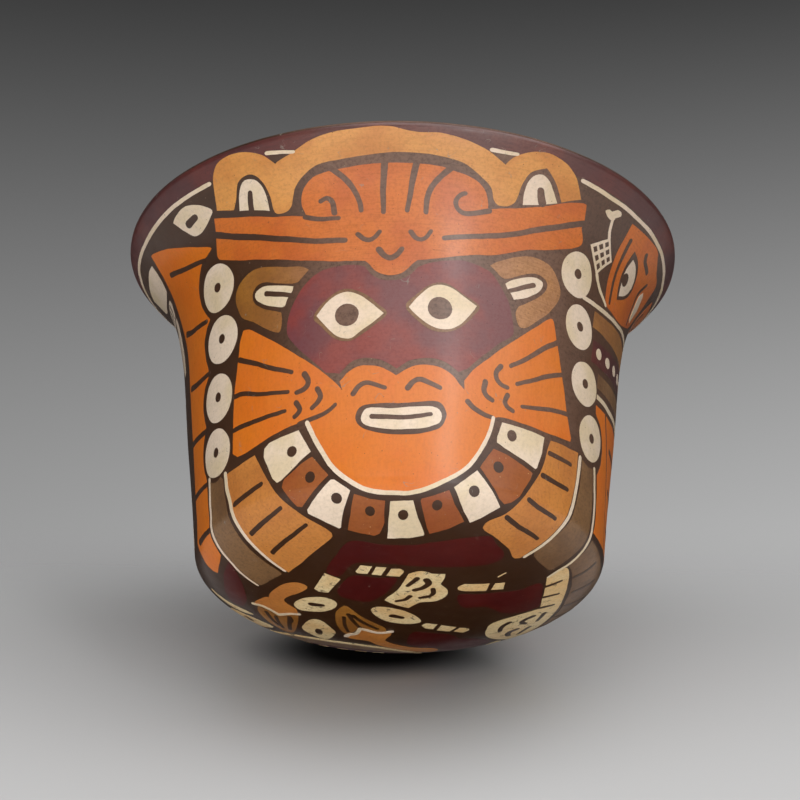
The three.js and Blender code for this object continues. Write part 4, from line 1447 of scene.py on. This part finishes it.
        painter.under("hands", "brown_tan", [
            outline([(-42.6, -2.4), (-42.2, 0), (-39.5, 4.7), (-38.2, 5.5)],
                    [(-38.2, 5.5), (-37.7, 8.5), (-35.5, 13.5), (-32.5, 17.5), (-29.5, 19.3), (-27, 18.8),
                     (-26.5, 17), (-29.5, 12.5), (-32, 9.5), (-33.5, 6.5), (-32.7, 4), (-30, 1),
                     (-29.6, -2.6)],
                    [(-35.3, -6.4)], [(-38, -3.5)]),
            outline([(-11.2, -9.3)], [(-6, -12), (-2, -10.8)],
                    [(-2.3, -14), (-3.8, -19), (-3, -22), (0, -25.8), (4, -29.7), (9.7, -31.8),
                     (11.8, -34.2), (11.9, -37.6), (9.7, -40), (5.5, -37.6), (0.2, -32.8), (-4.5, -28.3),
                     (-7, -24.6), (-9, -21.5), (-14.5, -20), (-15.3, -18)], [(-12.6, -14.5)])], 2)
        painter.under("fingers", "ear_brown", [
            outline([(-41.8, -3.5), (-42, -8.5), (-40.5, -14), (-38, -19.5), (-34.5, -24.5), (-32.2, -24.5),
                     (-31, -20), (-30, -12.5), (-29.4, -3)], [(-35.3, -6.6)]),
            outline([(-15.2, -16), (-16.7, -13.5), (-18, -8), (-18.5, -1.5), (-18, 4), (-15.6, 8.4),
                     (-13.2, 5.7), (-10.5, 1), (-6.5, -4.5), (-4, -8), (-3.6, -10.8)],
                    [(-6, -11.8), (-11.3, -8.8)])])
        painter.under("finger_lines", "line", [
            disc(-32, -9.6, 0.9, 2.4),
            stroke(1.0, (-39.5, -7), (-38, -12.5), (-36, -18)),
            stroke(1.0, (-36.6, -9), (-35.8, -14.5), (-34.8, -20)),
            stroke(1.2, (-32.2, -6.8), (-32.4, -12), (-32.6, -20)),
            stroke(1.0, (-15.8, 0), (-15.7, -6), (-15, -12.7)),
            stroke(1.1, (-14.5, 2.6), (-13, -3), (-11, -8.3)),
            stroke(1.1, (-13.2, 1.8), (-10, -3.6), (-6.2, -8.6))], 3)
        painter.under("cuffs", "cream", [
            stroke(1.2, (-43, -3), (-40.5, -2.5), (-38, -3.9), (-35.3, -6.7)),
            stroke(1.2, (-35.5, -6.6), (-33, -4.5), (-31.3, -3.3), (-29.2, -2.7)),
            stroke(1.3, (-15.5, -17.8), (-14.6, -15.4), (-12.6, -14), (-11, -8.4)),
            stroke(1.2, (-11.1, -8.6), (-9, -9.9), (-5.6, -11.9), (-2, -10.5))], 4)
        painter.under("skirt", "grey_brown", [loop(
            (-38, -34), (-34, -29.8), (-27, -27.6), (-18, -27.6), (-9, -29.8), (-3, -33.5), (3, -39.5),
            (6.5, -46), (0, -41.5), (-6, -38), (-14, -36), (-24, -36.5), (-33, -40.5))])
        painter.under("skirt_line", "aged_cream", [stroke(
            1.7, (-39, -35), (-34, -29.2), (-27, -27), (-18, -26.9), (-11, -28.3), (-5.5, -30.6), (-1, -34),
            (3.5, -38.5), (6.5, -44))], 3)
        painter.under("hem", "deep_maroon", [outline(
            [(-35, -42), (-24, -38.3), (-14, -37.6), (-6, -39.8), (0, -43.2), (5, -47.5)],
            [(5, -51.5), (-6, -51), (-16, -49.5), (-27, -46), (-34, -43.2)])])
        painter.under("hem_dashes", "aged_cream", [
            stroke(1.5, (x - 1, y), (x, y - 0.2), (x + 1, y - 0.3))
            for x, y in ((-28.4, -43.4), (-23, -43.4), (-17.2, -43.8), (-11.4, -44.8), (-6, -46))], 2)
        return {"FINISHED"}


class CUP_OT_stage(bpy.types.Operator):
    """Set the floor, the soft lamps, the background and the camera"""

    bl_idname = "cup.stage"
    bl_label = "Stage"

    CAMERA = Vector((0, -0.7568, -0.2936))
    CAMERA_TARGET = Vector((0, 0, 0.07083))
    CAMERA_ROLL = math.radians(0.697)
    LENS = 125.08
    LENS_SHIFT = -0.00144
    SENSOR_WIDTH = 36

    # Light of the room, at the leaning floor's level and straight above it
    ROOM_LIGHT = (0.02, 0.85)
    ROOM_MIRRORED = Color((0.03, 0.03, 0.03))

    # Background, painted darker upward as a falloff of light and darker to the left as a painted shadow:
    # its shades at the left and right below, the shade above, and the ways they lie in
    LOW_SHADES = (0.36, 0.50)
    HIGH_SHADE = 0.02
    LEFT_TO_RIGHT = (-0.15, 0.15)
    LOW_TO_HIGH = (0.33, 0.60)

    # Floors: half their width, painted shades at two heights (the leaning floor darker upward, a painted
    # falloff of light), and the shadow painted into the floor's colour where the cup touches, as the
    # distances in m at which it is full and gone and how pale it is at the full
    FLOOR_HALF = 2.5
    FLOOR_SHADES = (0.5, 0.5)
    FLOOR_PAINTED_SHADOW = (0.040, 0.080, 0.10)
    LEANING_HALF = 1.6
    LEANING_SHADES = (0.56, 0.36)
    LEANING_PAINTED_SHADOW = (0.010, 0.029, 0.03)
    LEANING_SHADOW_SQUEEZE = 0.62
    LEANING_SHADOW_SHIFT = Vector((-0.008, 0, 0))
    FLOOR_LEAN = math.radians(42)
    LEANING_GAP = 0.0004
    SHADE_HEIGHTS = (-0.08, 0.09)
    TOP_FADE = (0.02, 0.10)
    SIDE_FADE = (0.15, 0.24)

    # Softboxes: way to it as right, above and ahead, distance, width and height in m, watts,
    # and whether the polished slip mirrors it
    SOFTBOXES = {
        "tall_softbox": ((0.40, 0.11, -0.91), 1.3, 0.22, 1.7, 6.2, True),
        "low_softbox": ((-0.42, -0.33, -0.84), 1.3, 1.2, 0.7, 8.2, False),
        "top_softbox": ((0.27, 0.93, -0.25), 1.2, 1.7, 1.2, 8, True),
    }
    LIT_CENTRE = Vector((0, 0, 0.06))

    def execute(self, context):
        self.world(context)
        self.floor()
        self.leaning_floor(context)
        self.lamps(context)
        self.camera(context)
        return {"FINISHED"}

    def world(self, context):
        """Soft grey room light from above the leaning floor, and for the camera a background painted darker
        upward and to the left as painted shade
        """
        world = context.scene.world or bpy.data.worlds.new("room")
        context.scene.world = world
        world.use_nodes = True
        room = Nodes(world.node_tree, "Generated")

        def background(colour):
            shade = room.node("ShaderNodeBackground")
            room.feed(shade.inputs["Color"], colour)
            return shade.outputs["Background"]

        overhead = room.node("ShaderNodeVectorMath", operation="DOT_PRODUCT")
        room.feed(overhead.inputs[0], room.place)
        room.feed(overhead.inputs[1], (0, -math.sin(self.FLOOR_LEAN), math.cos(self.FLOOR_LEAN)))
        light = room.ramp(overhead.outputs["Value"], 0.0, 1.0, *self.ROOM_LIGHT, "LINEAR")
        axes = room.axes()
        # Painted shade: the background darkens to the left and upward
        low_shade = room.ramp(axes["X"], *self.LEFT_TO_RIGHT, *self.LOW_SHADES, "LINEAR")
        seen = room.ramp(axes["Z"], *self.LOW_TO_HIGH, low_shade, self.HIGH_SHADE)
        rays = room.node("ShaderNodeLightPath").outputs
        shine = room.either(rays["Is Glossy Ray"], background(light), background(self.ROOM_MIRRORED))
        shown = room.either(rays["Is Camera Ray"], shine, background(seen))
        room.close("ShaderNodeOutputWorld", shown)

    def one_sided(self, name, shades, painted_shadow, centre, rays_shown, squeeze=1.0):
        """A matt floor, seen from its upper side only, with a shadow painted into its colour where the cup
        touches it

        Gives its look, its matt shader, and how much of it is shown.
        """
        look = Look(name)
        axes = look.axes()
        squares = 0.0
        for axis, middle, share in zip("XYZ", centre, (squeeze, 1.0, 1.0)):
            apart = look.maths("MULTIPLY", look.maths("SUBTRACT", axes[axis], middle), share)
            squares = look.maths("ADD", squares, look.maths("MULTIPLY", apart, apart))
        away = look.maths("POWER", squares, 0.5)
        # Painted shade: the colour changes with height, the leaning floor painted darker upward as a
        # falloff of light
        colour = look.ramp(axes["Z"], *self.SHADE_HEIGHTS, *shades)
        matt = look.node("ShaderNodeBsdfDiffuse")
        # Painted shadow: the floor's colour darkens towards where the cup touches it
        look.feed(matt.inputs["Color"], look.maths("MULTIPLY", colour, look.ramp(away, *painted_shadow, 1.0)))
        rays = look.node("ShaderNodeLightPath").outputs
        shown = rays["Is Camera Ray"]
        for key in rays_shown:
            shown = look.maths("MAXIMUM", shown, rays[key])
        back = look.node("ShaderNodeNewGeometry").outputs["Backfacing"]
        return look, matt, look.maths("MULTIPLY", shown, look.maths("SUBTRACT", 1.0, back))

    def lay(self, name, half, matrix, look, matt, shown):
        """Lay a square floor, clear where its look isn't shown"""
        clear = look.node("ShaderNodeBsdfTransparent")
        shader = look.either(shown, clear.outputs["BSDF"], matt.outputs["BSDF"])
        look.close("ShaderNodeOutputMaterial", shader)
        bm = bmesh.new()
        bmesh.ops.create_grid(bm, x_segments=8, y_segments=8, size=half, matrix=matrix)
        mesh = bpy.data.meshes.new(name)
        bm.to_mesh(mesh)
        bm.free()
        plane = bpy.data.objects.new(name, mesh)
        bpy.context.scene.collection.objects.link(plane)
        mesh.materials.append(look.material)
        plane.visible_shadow = False

    def floor(self):
        """The level floor, which the cup stands on"""
        look, matt, shown = self.one_sided(
            "pale_floor", self.FLOOR_SHADES, self.FLOOR_PAINTED_SHADOW, Vector((0, 0, 0)),
            ["Is Glossy Ray", "Is Transmission Ray"])
        self.lay("floor", self.FLOOR_HALF, Matrix.Identity(4), look, matt, shown)

    def leaning_floor(self, context):
        """A floor that leans as the cup does in the photograph's view, under its back edge"""
        profile = Painter.ready(context).surface.profile
        lean = Vector((0, math.sin(self.FLOOR_LEAN), -math.cos(self.FLOOR_LEAN)))
        touch = max((Vector((0, p.x, p.y)) for p in profile.points), key=lambda p: p.dot(lean))
        look, matt, shown = self.one_sided(
            "pale_leaning_floor", self.LEANING_SHADES, self.LEANING_PAINTED_SHADOW,
            touch + self.LEANING_SHADOW_SHIFT, ["Is Transmission Ray", "Is Diffuse Ray"],
            self.LEANING_SHADOW_SQUEEZE)
        axes = look.axes()
        shown = look.maths("MULTIPLY", shown, look.ramp(axes["Z"], *self.TOP_FADE, 1.0, 0.0))
        depth = look.node("ShaderNodeLightPath").outputs["Transparent Depth"]
        through = look.maths("GREATER_THAN", depth, 0.5)
        under = look.maths("LESS_THAN", axes["Z"], 0.0)
        shown = look.maths("MULTIPLY", shown, look.maths("MAXIMUM", through, under))
        aside = look.ramp(look.maths("ABSOLUTE", axes["X"]), *self.SIDE_FADE, 1.0, 0.0)
        shown = look.maths("MULTIPLY", shown, aside)
        place = Matrix.Translation(touch + lean * self.LEANING_GAP)
        matrix = place @ Matrix.Rotation(self.FLOOR_LEAN, 4, "X")
        self.lay("leaning_floor", self.LEANING_HALF, matrix, look, matt, shown)

    def lamps(self, context):
        """Three softboxes, placed as seen from the camera"""
        right = Vector((1, 0, 0))
        ahead = (self.CAMERA_TARGET - self.CAMERA).normalized()
        above = right.cross(ahead)
        for name, (way, distance, width, height, watts, mirrored) in self.SOFTBOXES.items():
            lamp = bpy.data.lights.new(name, "AREA")
            lamp.shape = "RECTANGLE"
            lamp.size = width
            lamp.size_y = height
            lamp.energy = watts
            softbox = bpy.data.objects.new(name, lamp)
            softbox.visible_glossy = mirrored
            aim = (right * way[0] + above * way[1] + ahead * way[2]).normalized()
            softbox.location = self.LIT_CENTRE + aim * distance
            softbox.rotation_euler = aim.to_track_quat("Z", "Y").to_euler()
            context.scene.collection.objects.link(softbox)

    def camera(self, context):
        """The photograph's camera"""
        lens = bpy.data.cameras.new("camera")
        lens.sensor_width = self.SENSOR_WIDTH
        lens.lens = self.LENS
        lens.shift_x = self.LENS_SHIFT
        camera = bpy.data.objects.new("camera", lens)
        camera.location = self.CAMERA
        aim = (self.CAMERA_TARGET - self.CAMERA).to_track_quat("-Z", "Y").to_matrix()
        camera.rotation_euler = (aim @ Matrix.Rotation(self.CAMERA_ROLL, 3, "Z")).to_euler()
        context.scene.collection.objects.link(camera)
        context.scene.camera = camera
        context.scene.view_settings.view_transform = "Standard"


STEPS = (
    CUP_OT_clay, CUP_OT_coats, CUP_OT_lip_paint, CUP_OT_headdress, CUP_OT_mask, CUP_OT_muzzle,
    CUP_OT_collar, CUP_OT_shoulders, CUP_OT_beads, CUP_OT_cape, CUP_OT_side, CUP_OT_underside,
    CUP_OT_stage,
)


class CUP_PT_panel(bpy.types.Panel):
    """Lists the cup's sizes, its slips and the steps that build it"""

    bl_label = "Slip-painted Cup"
    bl_idname = "CUP_PT_panel"
    bl_space_type = "VIEW_3D"
    bl_region_type = "UI"
    bl_category = "Cup"

    def draw(self, context):
        for group in (context.scene.cup_sizes, context.scene.slip_colours):
            box = self.layout.box()
            for key in group.__annotations__:
                box.prop(group, key)
        for step in STEPS:
            self.layout.operator(step.bl_idname)


CLASSES = (CupSizes, SlipColours, *STEPS, CUP_PT_panel)


def register():
    for cls in CLASSES:
        bpy.utils.register_class(cls)
    bpy.types.Scene.cup_sizes = PointerProperty(type=CupSizes)
    bpy.types.Scene.slip_colours = PointerProperty(type=SlipColours)


def unregister():
    del bpy.types.Scene.slip_colours
    del bpy.types.Scene.cup_sizes
    for cls in reversed(CLASSES):
        bpy.utils.unregister_class(cls)


def main():
    """Build the cup in its steps"""
    register()
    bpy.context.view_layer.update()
    for step in STEPS:
        group, name = step.bl_idname.split(".")
        getattr(getattr(bpy.ops, group), name)()


if __name__ == "__main__":
    main()
